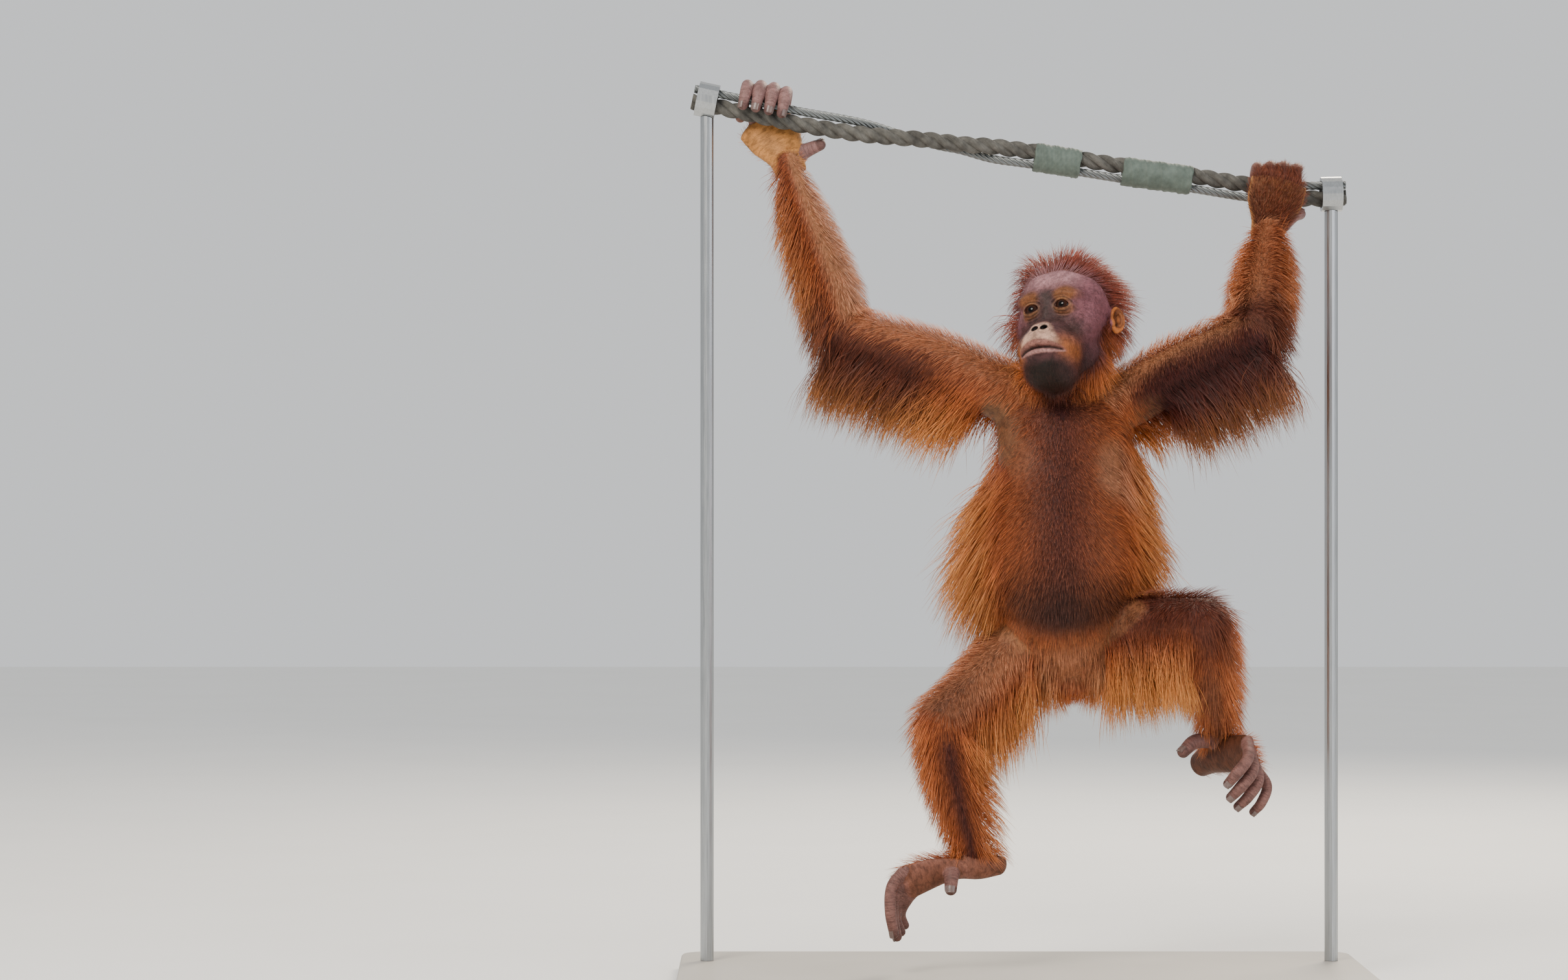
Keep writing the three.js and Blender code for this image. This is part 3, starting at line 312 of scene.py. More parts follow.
HEAD_TURN = turn_matrix(2, -30) @ turn_matrix(0, -15) @ turn_matrix(1, -9)
EYE = np.array([19.4, -51, -12.5])
EYE_RADIUS = 10.5
EAR = np.array([58.0, 9, -19])
HEAD_FORMS = [  # centre and radii: skull, cheeks, muzzle, chin, jaw, brows, nose
    ((0, 6, 5), (54, 63, 54)),
    ((0, -26, -26), (49, 34, 38)),
    ((0, -53, -60), (36, 33, 25)),
    ((0, -48, -84), (31, 30, 26)),
    ((0, -8, -64), (43, 34, 28)),
    ((21, -50, 1), (18, 9, 7)),
    ((-21, -50, 1), (18, 9, 7)),
    ((0, -62, -41), (14, 12, 8)),
]


def to_head(points):
    return (points - HEAD) @ HEAD_TURN


def from_head(points):
    return np.asarray(points, float) @ HEAD_TURN.T + HEAD


def folded(local):
    """Both halves of the head laid on one, so that each feature is told once."""
    return np.c_[np.abs(local[:, 0]), local[:, 1:]]


def oval(points, centre, radii):
    """0 at the centre of an oval zone and 1 on its edge."""
    return np.linalg.norm((points - np.asarray(centre)) / np.asarray(radii), axis=1)


def egg(points, centre, radii):
    """The distance to an egg's shell."""
    spot = (points - centre) / radii
    inside = np.linalg.norm(spot, axis=1)
    steep = np.maximum(np.linalg.norm(spot / radii, axis=1), 1e-6)
    return np.where(inside < 0.05, -min(radii), inside * (inside - 1) / steep)


def bump_at(distance, width):
    """1 on a line, fading to nothing over about twice the width."""
    return np.exp(-(distance / width) ** 2)


# %% Head: skull, sockets, lids, nose, lips and ears
MOUTH_Z = -69.5
MOUTH_HALF = 27.0


def ramp(value, low, high):
    """0 below low, 1 above high, and smooth between."""
    t = np.clip((value - low) / (high - low), 0, 1)
    return t * t * (3 - 2 * t)


def lip_line(x):
    """The height at which the lips meet."""
    s = np.clip(np.abs(x) / MOUTH_HALF, 0, 1)
    return MOUTH_Z - 3 * s * s


def eye_folds(m):
    """Grooves round the eye: one over the upper lid, three below the lower one."""
    across, height = m[:, 0] - EYE[0], m[:, 2] - EYE[2] + 0.10 * (m[:, 0] - EYE[0])
    ring = np.hypot(across * 0.84, height * 1.15)
    low = ramp(-height, 0.5, 5) * ramp(12 - np.abs(across + 1), 0, 6)
    high = ramp(height, 0.5, 5)
    under = bump_at(ring - 9.6, 0.7) + bump_at(ring - 13.0, 0.9) * 0.9 + bump_at(ring - 16.8, 1.1) * 0.7
    over = bump_at(ring - 10.2, 0.9) * 1.1 + bump_at(ring - 13.4, 0.9) * 0.4
    return low * under + high * over


class Head:
    name, blend, group = "head", 10.0, "head"

    def __init__(self):
        reach = 98 + 24
        self.low, self.high = HEAD - reach - [0, 0, 40], HEAD + reach
        self.fine = False

    def read(self, points):
        local = to_head(points)
        turn = np.arctan2(local[:, 0], -(local[:, 1] + 10))
        tall = np.arctan2(local[:, 2] + 15, np.hypot(local[:, 0], local[:, 1] + 10))
        return self.distance(points), 0.5 + tall / math.pi, np.stack([np.cos(turn), np.sin(turn)], 1)

    def distance(self, points):
        p = to_head(points)
        flesh = egg(p, *map(np.array, HEAD_FORMS[0]))
        for centre, radii in HEAD_FORMS[1:]:
            flesh = soft_union(flesh, egg(p, np.array(centre), np.array(radii)), 13)
        m = folded(p)
        socket = np.linalg.norm(m - [20.5, -68, -13], axis=1) - 12
        flesh = -soft_union(-flesh, socket, 8)
        flesh = self.face(flesh, m) if self.fine else flesh
        return soft_union(flesh, self.ear(m), 3.0)

    def ear(self, m):
        e = (m - EAR) @ turn_matrix(2, -32)
        outer = egg(e, np.array([1.0, 0, 0]), np.array([5.5, 10.5, 17.5]))
        if not self.fine:
            return outer
        bowl = egg(e, np.array([5.6, -0.6, 1.6]), np.array([6.2, 7.6, 13.4]))
        shell = -soft_union(-outer, bowl, 2.4)
        oval = np.hypot((e[:, 1] - 0.8) * 1.9, e[:, 2] - 1.5) - 8.2
        ridge = np.hypot(oval * 0.6, e[:, 0] - 1.4) - 1.3
        ridge = np.maximum(ridge, -e[:, 1] - 1.5)
        tragus = egg(e, np.array([2.6, -8.2, -4.0]), np.array([2.6, 3.0, 4.0]))
        return soft_union(soft_union(shell, ridge, 2.0), tragus, 2.5)

    def face(self, flesh, m):
        x, y, z = m.T
        front = np.clip((-y - 20) / 20, 0, 1)
        eye = m - EYE
        round_eye = np.linalg.norm(eye, axis=1)
        across, height = eye[:, 0], eye[:, 2] + 0.10 * eye[:, 0]
        # folds above and below the eye, nested like ripples
        flesh = flesh + front * 1.25 * eye_folds(m)
        # the lids: a shell on the eyeball, open along an almond
        shell = round_eye - (EYE_RADIUS + 1.7)
        flesh = soft_union(flesh, shell, 4.0)
        s = np.clip(across / 8.7, -1, 1)
        upper, lower = 5.5 * (1 - s ** 2) ** 0.7, -4.3 * (1 - s ** 2) ** 0.6
        middle, half = (upper + lower) / 2, (upper - lower) / 2
        almond = np.maximum(np.abs(height - middle) - half, np.abs(across) - 8.7)
        almond = np.maximum(almond, y - EYE[1] + 6.6)
        flesh = -soft_union(-flesh, almond, 2.8)
        # nose: low bridge, rims and nostrils
        wing = egg(m, np.array([7.2, -70.0, -43]), np.array([5.4, 6.5, 5.2]))
        flesh = soft_union(flesh, wing, 4.0)
        bridge = egg(m, np.array([0, -55.0, -24]), np.array([5.0, 8.0, 15]))
        flesh = soft_union(flesh, bridge, 6.0)
        hole = egg(m, np.array([5.6, -78.0, -44.5]), np.array([3.4, 9.0, 2.6]))
        flesh = -soft_union(-flesh, hole, 1.6)
        flesh = flesh + 0.9 * front * bump_at(x, 1.2) * bump_at(z + 49, 5)
        # a full upper lip, and lips that meet in a groove
        pad = egg(m, np.array([0, -57.0, -63]), np.array([33.0, 31, 16]))
        flesh = soft_union(flesh, pad, 8.0)
        s = np.clip(x / MOUTH_HALF, 0, 1)
        line = lip_line(x)
        front_y = -86.5 + 37 * s ** 2.2
        reach = np.maximum(x - MOUTH_HALF, 0)
        lips = None
        for offset, thick in ((4.2, 4.6), (-3.4, 3.7)):
            centre = line + offset * (1 - s * s)
            lip = np.sqrt((z - centre) ** 2 + ((y - front_y - 3.8) * 0.8) ** 2 + reach ** 2)
            lip = lip - thick * (1 - 0.6 * s * s)
            lips = lip if lips is None else np.minimum(lips, lip)
        flesh = soft_union(flesh, lips, 4.0)
        closing = ramp(MOUTH_HALF + 1 - x, 0, 5) * front
        flesh = flesh + (1.8 + 1.3 * (1 - s)) * bump_at(z - line, 1.6 + 0.5 * (1 - s)) * closing
        # a fold from the nose's wing round the upper lip to the corner of the mouth
        fold = np.hypot(x - 3, (z + 56) * 0.95) - 29
        reach = np.clip((z + 78) / 20, 0, 1) * np.clip((-z - 30) / 10, 0, 1)
        return flesh + 1.3 * front * bump_at(fold, 2.0) * reach


head = Head()

# %% Trunk, neck and limbs
trunk = Limb("trunk", [
    ((50, 14, 690), 38, 34), ((48, 11, 672), 60, 47), ((46, 6, 642), 75, 60), ((45, 2, 600), 75, 68),
    ((43, -2, 555), 80, 77), ((43, -5, 510), 85, 85), ((44, -6, 470), 83, 86), ((47, -2, 438), 75, 78),
    ((50, 6, 410), 66, 66), ((53, 12, 384), 56, 56), ((53, 15, 364), 40, 42)], LEFT, blend=16)
neck = Limb("neck", [
    ((49, 15, 655), 44, 36), ((52, 14, 695), 42, 38), ((54, 12, 738), 38, 38)], LEFT, blend=14)
UPPER_ARM = {
    "right": [((-2, 10, 676), 34, 36), (SHOULDER["right"], 36, 34), ((-88, 32, 722), 33, 31),
              ((-150, 55, 744), 29, 28), (ELBOW["right"], 27, 26)],
    "left": [((97, 12, 670), 34, 36), (SHOULDER["left"], 37, 34), ((180, -28, 714), 33, 31),
             ((224, -62, 736), 29, 28), (ELBOW["left"], 27, 26)],
}
FOREARM = {
    "right": [(ELBOW["right"], 27, 27), ((-223, 82, 812), 31, 29), ((-240, 92, 860), 28, 26),
              ((-258, 102, 914), 22, 20), (WRIST["right"], 19, 15)],
    "left": [(ELBOW["left"], 27, 27), ((268, -48, 788), 31, 29), ((276, -10, 818), 28, 27),
             ((284, 32, 853), 22, 21), (WRIST["left"], 19, 16)],
}
PALM = {
    "right": [((-270, 109, 951), 18, 14), ((-275, 112, 966), 22, 14), ((-286, 117, 986), 31, 14),
              ((-302, 121, 1007), 33, 12)],
    "left": [((289, 62, 871), 18, 15), ((292, 64, 886), 22, 15), ((297, 63, 908), 32, 13),
             ((303, 66, 932), 33, 11)],
}
THIGH = {
    "right": [((38, 12, 404), 42, 38), (HIP["right"], 43, 40), ((-26, -12, 373), 37, 35),
              ((-62, -34, 340), 32, 31), (KNEE["right"], 28, 28)],
    "left": [((72, 12, 406), 42, 38), (HIP["left"], 43, 40), ((130, -34, 417), 37, 35),
             ((165, -72, 423), 32, 31), (KNEE["left"], 28, 28)],
}
SHIN = {
    "right": [(KNEE["right"], 28, 28), ((-89, -47, 272), 29, 29), ((-79, -44, 226), 26, 26),
              ((-68, -42, 184), 19, 20), (ANKLE["right"], 16, 17), ((-58, -40, 146), 14, 14)],
    "left": [(KNEE["left"], 28, 28), ((203, -86, 392), 29, 29), ((211, -60, 356), 26, 26),
             ((219, -36, 322), 19, 20), (ANKLE["left"], 16, 17), ((222, -10, 284), 14, 14)],
}
FOOT = {
    "right": ([((-33, -34, 144), 15, 14), ((-56, -40, 142), 18, 16), ((-82, -44, 141), 20, 13),
               ((-110, -49, 135), 22, 11), ((-136, -52, 126), 23, 10)],
              [(0, 1, 0.1), (0, 1, 0), (0, 0.8, -0.6), (0.1, 0.5, -0.86), (0.25, 0.3, -0.92)]),
    "left": ([((208, 20, 255), 15, 14), ((219, 2, 263), 18, 16), ((230, -20, 267), 20, 13),
              ((243, -42, 270), 22, 11), ((254, -60, 271), 23, 10)],
             [(0.3, 0, -0.95), (0.3, 0, -0.95), (0.25, 0, -0.97), (0.25, 0, -0.97), (0.25, 0, -0.97)]),
}
body = [trunk, neck]
for side in SIDES:
    body.append(Limb("upper_arm_" + side, UPPER_ARM[side], BACK, blend=16))
    body.append(Limb("forearm_" + side, FOREARM[side], BACK, blend=10))
    body.append(Limb("palm_" + side, PALM[side], LEFT, blend=8, group="hand"))
    body.append(Limb("thigh_" + side, THIGH[side], BACK, blend=18))
    body.append(Limb("shin_" + side, SHIN[side], LEFT, blend=10))
    body.append(Limb("foot_" + side, *FOOT[side], blend=8, group="foot"))
body.append(head)

# %% Fingers and thumbs, hooked over the cable
GRIP = {  # where the fist closes on the cable, the cable's way there, and 1 for a palm behind it
    "right": ((-303.5, 95, 1018.6), (0.977, 0, -0.213), 1),
    "left": ((302, 95, 924), (0.997, 0, -0.075), -1),
}
FINGER_RADIUS = 7.4
FINGER_GAP = 16
FINGER_LINE = [(22, -10), (25, 9), (15, 26.5), (-3, 29.5), (-16, 20), (-21, 2)]
FINGER_REACH = [0.9, 1, 1.03, 0.98]
DIGIT_SWELL = [0.98, 1, 1.04, 0.96, 0.95, 0.8]
THUMB = {
    "right": [((-264, 110, 966), 9), ((-250, 113, 975), 8.5), ((-235, 106, 981), 7)],
    "left": [((309, 66, 886), 9), ((321, 74, 896), 8.5), ((330, 88, 898), 7)],
}
digits = []
for side, (centre, along, back) in GRIP.items():
    centre, along = np.array(centre, float), np.array(along, float)
    up = np.array([-along[2], 0, along[0]])
    for order, reach in enumerate(FINGER_REACH):
        stations = []
        for i, (away, height) in enumerate(FINGER_LINE):
            grow = reach if i > 1 else 1
            spread = (order - 1.5) * FINGER_GAP * (0.97 if i > 1 else 1)
            point = centre + along * spread + BACK * back * away * grow + up * height * grow
            radius = FINGER_RADIUS * DIGIT_SWELL[i]
            stations.append((point, radius, radius))
        name = ("little", "ring", "middle", "index")[order]
        digits.append(Limb(f"finger_{name}_{side}", stations, along, blend=4, cap=1.0, group="digit"))
    thumb = [(point, size, size) for point, size in THUMB[side]]
    digits.append(Limb("thumb_" + side, thumb, UP, blend=5, cap=1.0, group="digit"))

# %% Toes
TOES = {
    "right": [
        [(-84, -50, 140), (-86, -61, 131), (-87, -67, 117)],
        [(-138, -58, 139), (-154, -62, 120), (-156, -66, 92), (-152, -63, 66)],
        [(-137, -53, 128), (-151, -51, 108), (-153, -50, 84), (-148, -48, 61)],
        [(-135, -49, 117), (-147, -41, 99), (-149, -35, 80), (-143, -33, 65)],
        [(-133, -45, 107), (-141, -33, 93), (-143, -22, 82), (-138, -17, 71)]],
    "left": [
        [(216, -24, 284), (194, -41, 284), (180, -50, 273)],
        [(252, -62, 286), (250, -88, 268), (236, -103, 252), (226, -101, 240)],
        [(255, -62, 276), (256, -84, 254), (241, -97, 236), (230, -94, 224)],
        [(258, -60, 266), (263, -78, 243), (250, -88, 224), (239, -86, 213)],
        [(261, -57, 256), (274, -66, 236), (267, -75, 217), (258, -73, 206)]],
}
TOE_RADIUS = [8.4, 6.6, 6.8, 6.5, 6]
for side, toes in TOES.items():
    for order, (points, radius) in enumerate(zip(toes, TOE_RADIUS)):
        radii = [radius] * (len(points) - 1) + [radius * 0.84]
        stations = list(zip(points, radii, radii))
        name = ("big", "second", "third", "fourth", "fifth")[order]
        digits.append(Limb(f"toe_{name}_{side}", stations, (0.3, 1, 0.2), blend=4, cap=1.0, group="digit"))
forms = body + digits
print(len(forms), "forms;", round(time.time() - began, 1), "s")

# %% [markdown]
# ## One skin
# The field is read on a grid of 3 mm, and a net of small quads is drawn where it changes sign.
# Fingers and toes are first drawn thinner than they are, so that the coarse net keeps them apart,
# and then every point slides out onto the true field. The net is split finer where bare
# skin shows: the hands, the feet, and above all the eyelids, nose, lips and ears.

# %% The field on a grid
STEP = 3.0
grid_low = np.min([f.low for f in forms], 0) + 14
grid_high = np.max([f.high for f in forms], 0) - 14
grid_shape = tuple(np.ceil((grid_high - grid_low) / STEP).astype(int) + 1)
FAR_OFF = 60.0
THIN_DIGITS = 2.2


def lay_form(field, form, thin=0.0):
    """Blends one form into the grid, only where it reaches."""
    first = np.clip(((form.low - grid_low) / STEP).astype(int), 0, np.array(grid_shape) - 1)
    last = np.clip(((form.high - grid_low) / STEP).astype(int) + 2, 1, grid_shape)
    spans = [np.arange(a, b) for a, b in zip(first, last)]
    x, y, z = np.meshgrid(*spans, indexing="ij")
    points = np.stack([x.ravel(), y.ravel(), z.ravel()], 1) * STEP + grid_low
    value = np.empty(len(points), np.float32)
    for start in range(0, len(points), 400000):
        value[start:start + 400000] = form.distance(points[start:start + 400000]) + thin
    part = tuple(slice(a, b) for a, b in zip(first, last))
    field[part] = soft_union(field[part], value.reshape(x.shape), form.blend if thin == 0 else 2.0)


field = np.full(grid_shape, FAR_OFF, np.float32)
for form in body:
    lay_form(field, form)
for form in digits:
    lay_form(field, form, thin=THIN_DIGITS)
print("grid", grid_shape, round(time.time() - began, 1), "s")


# %% A net over the zero of the field
def draw_net(field, low, step):
    """One point in each cell that the skin crosses, and one quad across each edge that it cuts."""
    inside = field < 0
    count = np.zeros(np.array(field.shape) - 1, np.int8)
    corners = [(i, j, k) for i in (0, 1) for j in (0, 1) for k in (0, 1)]
    for i, j, k in corners:
        count += inside[i:field.shape[0] - 1 + i, j:field.shape[1] - 1 + j, k:field.shape[2] - 1 + k]
    cells = np.argwhere((count > 0) & (count < 8))
    index = np.full(count.shape, -1, np.int32)
    index[tuple(cells.T)] = np.arange(len(cells))
    total, hits = np.zeros((len(cells), 3)), np.zeros(len(cells))
    for a in corners:
        for axis in range(3):
            if a[axis]:
                continue
            b = tuple(v + (n == axis) for n, v in enumerate(a))
            fa, fb = field[tuple((cells + a).T)], field[tuple((cells + b).T)]
            cross = (fa < 0) != (fb < 0)
            t = np.where(cross, fa / np.where(cross, fa - fb, 1), 0)
            total += np.where(cross[:, None], np.array(a) + np.eye(3)[axis] * t[:, None], 0)
            hits += cross
    points = low + step * (cells + total / hits[:, None])
    quads = []
    for axis in range(3):
        u, v = (axis + 1) % 3, (axis + 2) % 3
        a = np.take(inside, range(field.shape[axis] - 1), axis)
        b = np.take(inside, range(1, field.shape[axis]), axis)
        at = np.argwhere(a != b)
        at = at[(at[:, [u, v]] > 0).all(1) & (at[:, [u, v]] < np.array(field.shape)[[u, v]] - 1).all(1)]
        leaving = a[tuple(at.T)]
        du, dv = np.eye(3, dtype=int)[u], np.eye(3, dtype=int)[v]
        quad = np.stack([index[tuple((at - s).T)] for s in (du + dv, dv, 0 * du, du)], 1)
        quads.append(np.where(leaving[:, None], quad, quad[:, ::-1]))
    return points, np.vstack(quads)


points, quads = draw_net(field, grid_low, STEP)
triangles = np.vstack([quads[:, [0, 1, 2]], quads[:, [0, 2, 3]]])
print("net", len(points), "points", len(triangles), "triangles", round(time.time() - began, 1), "s")


# %% The exact field, for any points
def body_distance(points, which=forms):
    value = np.full(len(points), FAR_OFF)
    for form in which:
        near = np.all((points > form.low) & (points < form.high), 1)
        if near.any():
            value[near] = soft_union(value[near], form.distance(points[near]), form.blend)
    return value


FOUR_WAYS = np.array([(1, 1, 1), (1, -1, -1), (-1, 1, -1), (-1, -1, 1)], float)


def slope_at(points, reach=0.35):
    return sum(c * body_distance(points + c * reach)[:, None] for c in FOUR_WAYS) / (4 * reach)


# %% Split, relax and settle
def split(points, triangles, wanted):
    """Cuts each edge that is longer than wanted there, and the triangles on both sides to match."""
    sides = np.sort(np.stack([triangles, np.roll(triangles, -1, 1)], 2).reshape(-1, 2), 1).astype(np.int64)
    keys, back = np.unique(sides[:, 0] * len(points) + sides[:, 1], return_inverse=True)
    a, b = keys // len(points), keys % len(points)
    middle = (points[a] + points[b]) / 2
    cut = np.linalg.norm(points[a] - points[b], axis=1) > wanted(middle) * 1.35
    fresh = np.full(len(keys), -1)
    fresh[cut] = len(points) + np.arange(cut.sum())
    middles = fresh[back].reshape(-1, 3)
    count = (middles >= 0).sum(1)
    out = [triangles[count == 0]]
    for number in (1, 2, 3):
        pick = count == number
        t, m = triangles[pick], middles[pick]
        if number == 1:
            turn = (m >= 0).argmax(1)
        elif number == 2:
            turn = ((m < 0).argmax(1) + 1) % 3
        else:
            turn = np.zeros(len(t), int)
        order = (turn[:, None] + np.arange(3)) % 3
        (p, q, r), (pq, qr, rp) = np.take_along_axis(t, order, 1).T, np.take_along_axis(m, order, 1).T
        parts = {
            1: [(p, pq, r), (pq, q, r)],
            2: [(pq, q, qr), (p, pq, qr), (p, qr, r)],
            3: [(p, pq, rp), (pq, q, qr), (rp, qr, r), (pq, qr, rp)],
        }[number]
        out += [np.stack(part, 1) for part in parts]
    return np.vstack([points, middle[cut]]), np.vstack(out)


def relax(points, triangles, share=0.5):
    """Slides each point along the skin towards the middle of its neighbours."""
    total, count = np.zeros_like(points), np.zeros(len(points))
    for i in range(3):
        for j in (1, 2):
            other = points[triangles[:, (i + j) % 3]]
            for axis in range(3):
                total[:, axis] += np.bincount(triangles[:, i], other[:, axis], len(points))
            count += np.bincount(triangles[:, i], minlength=len(points))
    normal = surface_normals(points, triangles)
    move = total / count[:, None] - points
    return points + share * (move - normal * rows_dot(move, normal)[:, None])


def surface_normals(points, triangles):
    a, b, c = (points[triangles[:, i]] for i in range(3))
    face = np.cross(b - a, c - a)
    normal = np.stack([sum(np.bincount(triangles[:, i], face[:, axis], len(points)) for i in range(3))
                       for axis in range(3)], 1)
    return unit(normal)


def settle(points, most=1.6):
    """Moves points onto the true skin, by at most so many mm."""
    value = body_distance(points)
    slope = slope_at(points)
    size = np.maximum((slope ** 2).sum(1), 0.25)
    step = np.clip(value / size, -most, most)
    return points - slope * step[:, None]


# %% Where the net is fine
def near_any(points, names, reach):
    close = np.zeros(len(points), bool)
    for form in forms:
        if form.name.startswith(names):
            near = np.all((points > form.low) & (points < form.high), 1)
            close[near] |= form.distance(points[near]) < reach
    return close


FINE_ZONES = [  # on the folded head: centre, radii and the edge wanted, in mm
    (EAR, (14, 16, 24), 1.0), (EYE, (17, 17, 17), 0.8), (EYE, (12.5, 16, 9.5), 0.6),
    ((0, -78, -44), (15, 14, 10), 0.8)]


def wanted_edge(points):
    m = folded(to_head(points))
    edge = np.full(len(points), 3.4)
    edge[near_any(points, ("palm", "foot"), 2.0)] = 1.9
    edge[near_any(points, ("finger", "toe", "thumb"), 2.0)] = 1.45
    edge[(m[:, 1] < -24) & (m[:, 2] < 26) & (m[:, 2] > -118) & (m[:, 0] < 62)] = 1.5
    for centre, radii, fine in FINE_ZONES:
        edge[oval(m, centre, radii) < 1] = fine
    lips = (m[:, 0] < 31) & (np.abs(m[:, 2] - MOUTH_Z) < 12) & (m[:, 1] < -44)
    edge[lips] = 0.85
    return edge


# %% The finer net, with the face's details in the field
head.fine = True
for turn in range(6):
    points, triangles = split(points, triangles, wanted_edge)
    bare = wanted_edge(points) < (3 if turn < 4 else 0.9)
    for _ in range(2):
        moved = relax(points, triangles)
        points[bare] = settle(moved[bare])
    print("split", turn, len(points), "points", len(triangles), round(time.time() - began, 1), "s")
bare = wanted_edge(points) < 3
points[bare] = settle(settle(points[bare], 0.6), 0.6)

# %% [markdown]
# ## Where each point lies on the body
# The finish, the hair's length and its lie all depend on the place: which limb, how far along it,
# and on which side. For each point this reads the nearest form, and blends the lie of the hair
# between neighbouring forms, so that the coat turns smoothly from the arm to the chest.

# %% The lie of the hair on each form
DOWN = -UP
FRONT = -BACK


def head_lie(points):
    """Back over the crown, back and down behind the cheeks, and down on the jaw."""
    p = to_head(points)
    top = np.clip(p[:, 2] / 45, 0, 1)[:, None]
    low = np.clip(-(p[:, 2] + 10) / 50, 0, 1)[:, None]
    spread = np.stack([np.tanh(p[:, 0] / 14) * 0.35, np.zeros(len(p)), np.zeros(len(p))], 1)
    back = np.array([0, 0.85, 0.35]) * top + np.array([0, 0.7, -0.5]) * (1 - top) * (1 - low)
    back = back + (np.array([0, 0.25, -1.0]) + spread * 0.5) * low
    return (back + spread * top) @ HEAD_TURN.T


def lie_of(form, points, share):
    """The way the hair lies: down the trunk and legs, and up the forearm to the elbow."""
    kind = form.name.split("_")[0]
    if kind == "head":
        return head_lie(points)
    k = np.clip((share * (len(form.centre) - 1)).astype(int), 0, len(form.centre) - 1)
    along = form.along[k]
    out = LEFT * (1 if form.name.endswith("left") else -1)
    return {
        "trunk": lambda: np.repeat(DOWN[None], len(points), 0),
        "neck": lambda: np.repeat((DOWN + BACK * 0.1)[None], len(points), 0),
        "upper": lambda: along * 0.55 + DOWN * 0.75,
        "forearm": lambda: -along * 0.9 + out * 0.3 + DOWN * 0.2,
        "palm": lambda: along,
        "thigh": lambda: along * 0.35 + DOWN * 0.9,
        "shin": lambda: along * 0.6 + DOWN * 0.5,
        "foot": lambda: along,
        "finger": lambda: along,
        "thumb": lambda: along,
        "toe": lambda: along,
    }[kind]()


def body_map(points, lies=False):
    """The nearest form, the share along it and the way round it; and the blended lie of the hair."""
    best = np.full(len(points), 1e9)
    which, share, ring = np.zeros(len(points), int), np.zeros(len(points)), np.zeros((len(points), 2))
    lie, weight = np.zeros((len(points), 3)), np.zeros(len(points))
    for n, form in enumerate(forms):
        near = np.flatnonzero(np.all((points > form.low) & (points < form.high), 1))
        if not len(near):
            continue
        d, s, r = form.read(points[near])
        if lies:
            w = np.exp(-np.clip(d + 6, 0, 80) / 6)
            lie[near] += lie_of(form, points[near], s) * w[:, None]
        closer = d < best[near]
        spot = near[closer]
        best[spot], which[spot], share[spot], ring[spot] = d[closer], n, s[closer], r[closer]
    return which, share, ring, unit(lie)


def kinds(*names):
    """Which of the forms have names that start so."""
    return np.array([form.name.startswith(names) for form in forms])


# %% Bare skin and coat
ARMPITS = ((-34, -2, 640), (150, -10, 636))
BREASTS = ((-10, -60, 612), (105, -60, 604))
GROIN_CREASES = (((-36, -40, 424), (46, -40, 366)), ((124, -40, 440), (62, -40, 368)))


def side_of(points):
    return np.where(points[:, 0] > MIDDLE_X, 1.0, -1.0)


def ears(points):
    return oval(folded(to_head(points)), EAR + [3, 0, 0], (11, 12.5, 20)) < 1


def wavy(points, size):
    """A smooth uneven number about 0, of the given size in mm, for edges that aren't ruled lines."""
    q = points / size
    return (np.sin(q[:, 0] * 5.1 + 1.3 * np.sin(q[:, 2] * 3.7)) + np.sin(q[:, 1] * 4.3 + q[:, 2] * 2.9)
            + np.sin(q[:, 2] * 6.1 + 1.7 * np.sin(q[:, 0] * 3.1))) / 3


def hairline(points):
    """mm inside the bare face, below zero in the coat."""
    p = to_head(points)
    y, z = p[:, 1], p[:, 2]
    top = np.interp(y, [-60, -40, -22, -8, 2], [36, 34, 26, 10, -4])
    behind = -0.46 * np.maximum(-42 - z, 0) - 14 * ramp(-p[:, 0], 25, 45) * ramp(20 - z, 0, 30)
    return np.minimum(top - z, behind - y) + 2.5 * wavy(points, 30.0)


def face_share(points):
    """1 on the bare face, 0 where the head's coat grows."""
    return ramp(hairline(points), -7, 3)


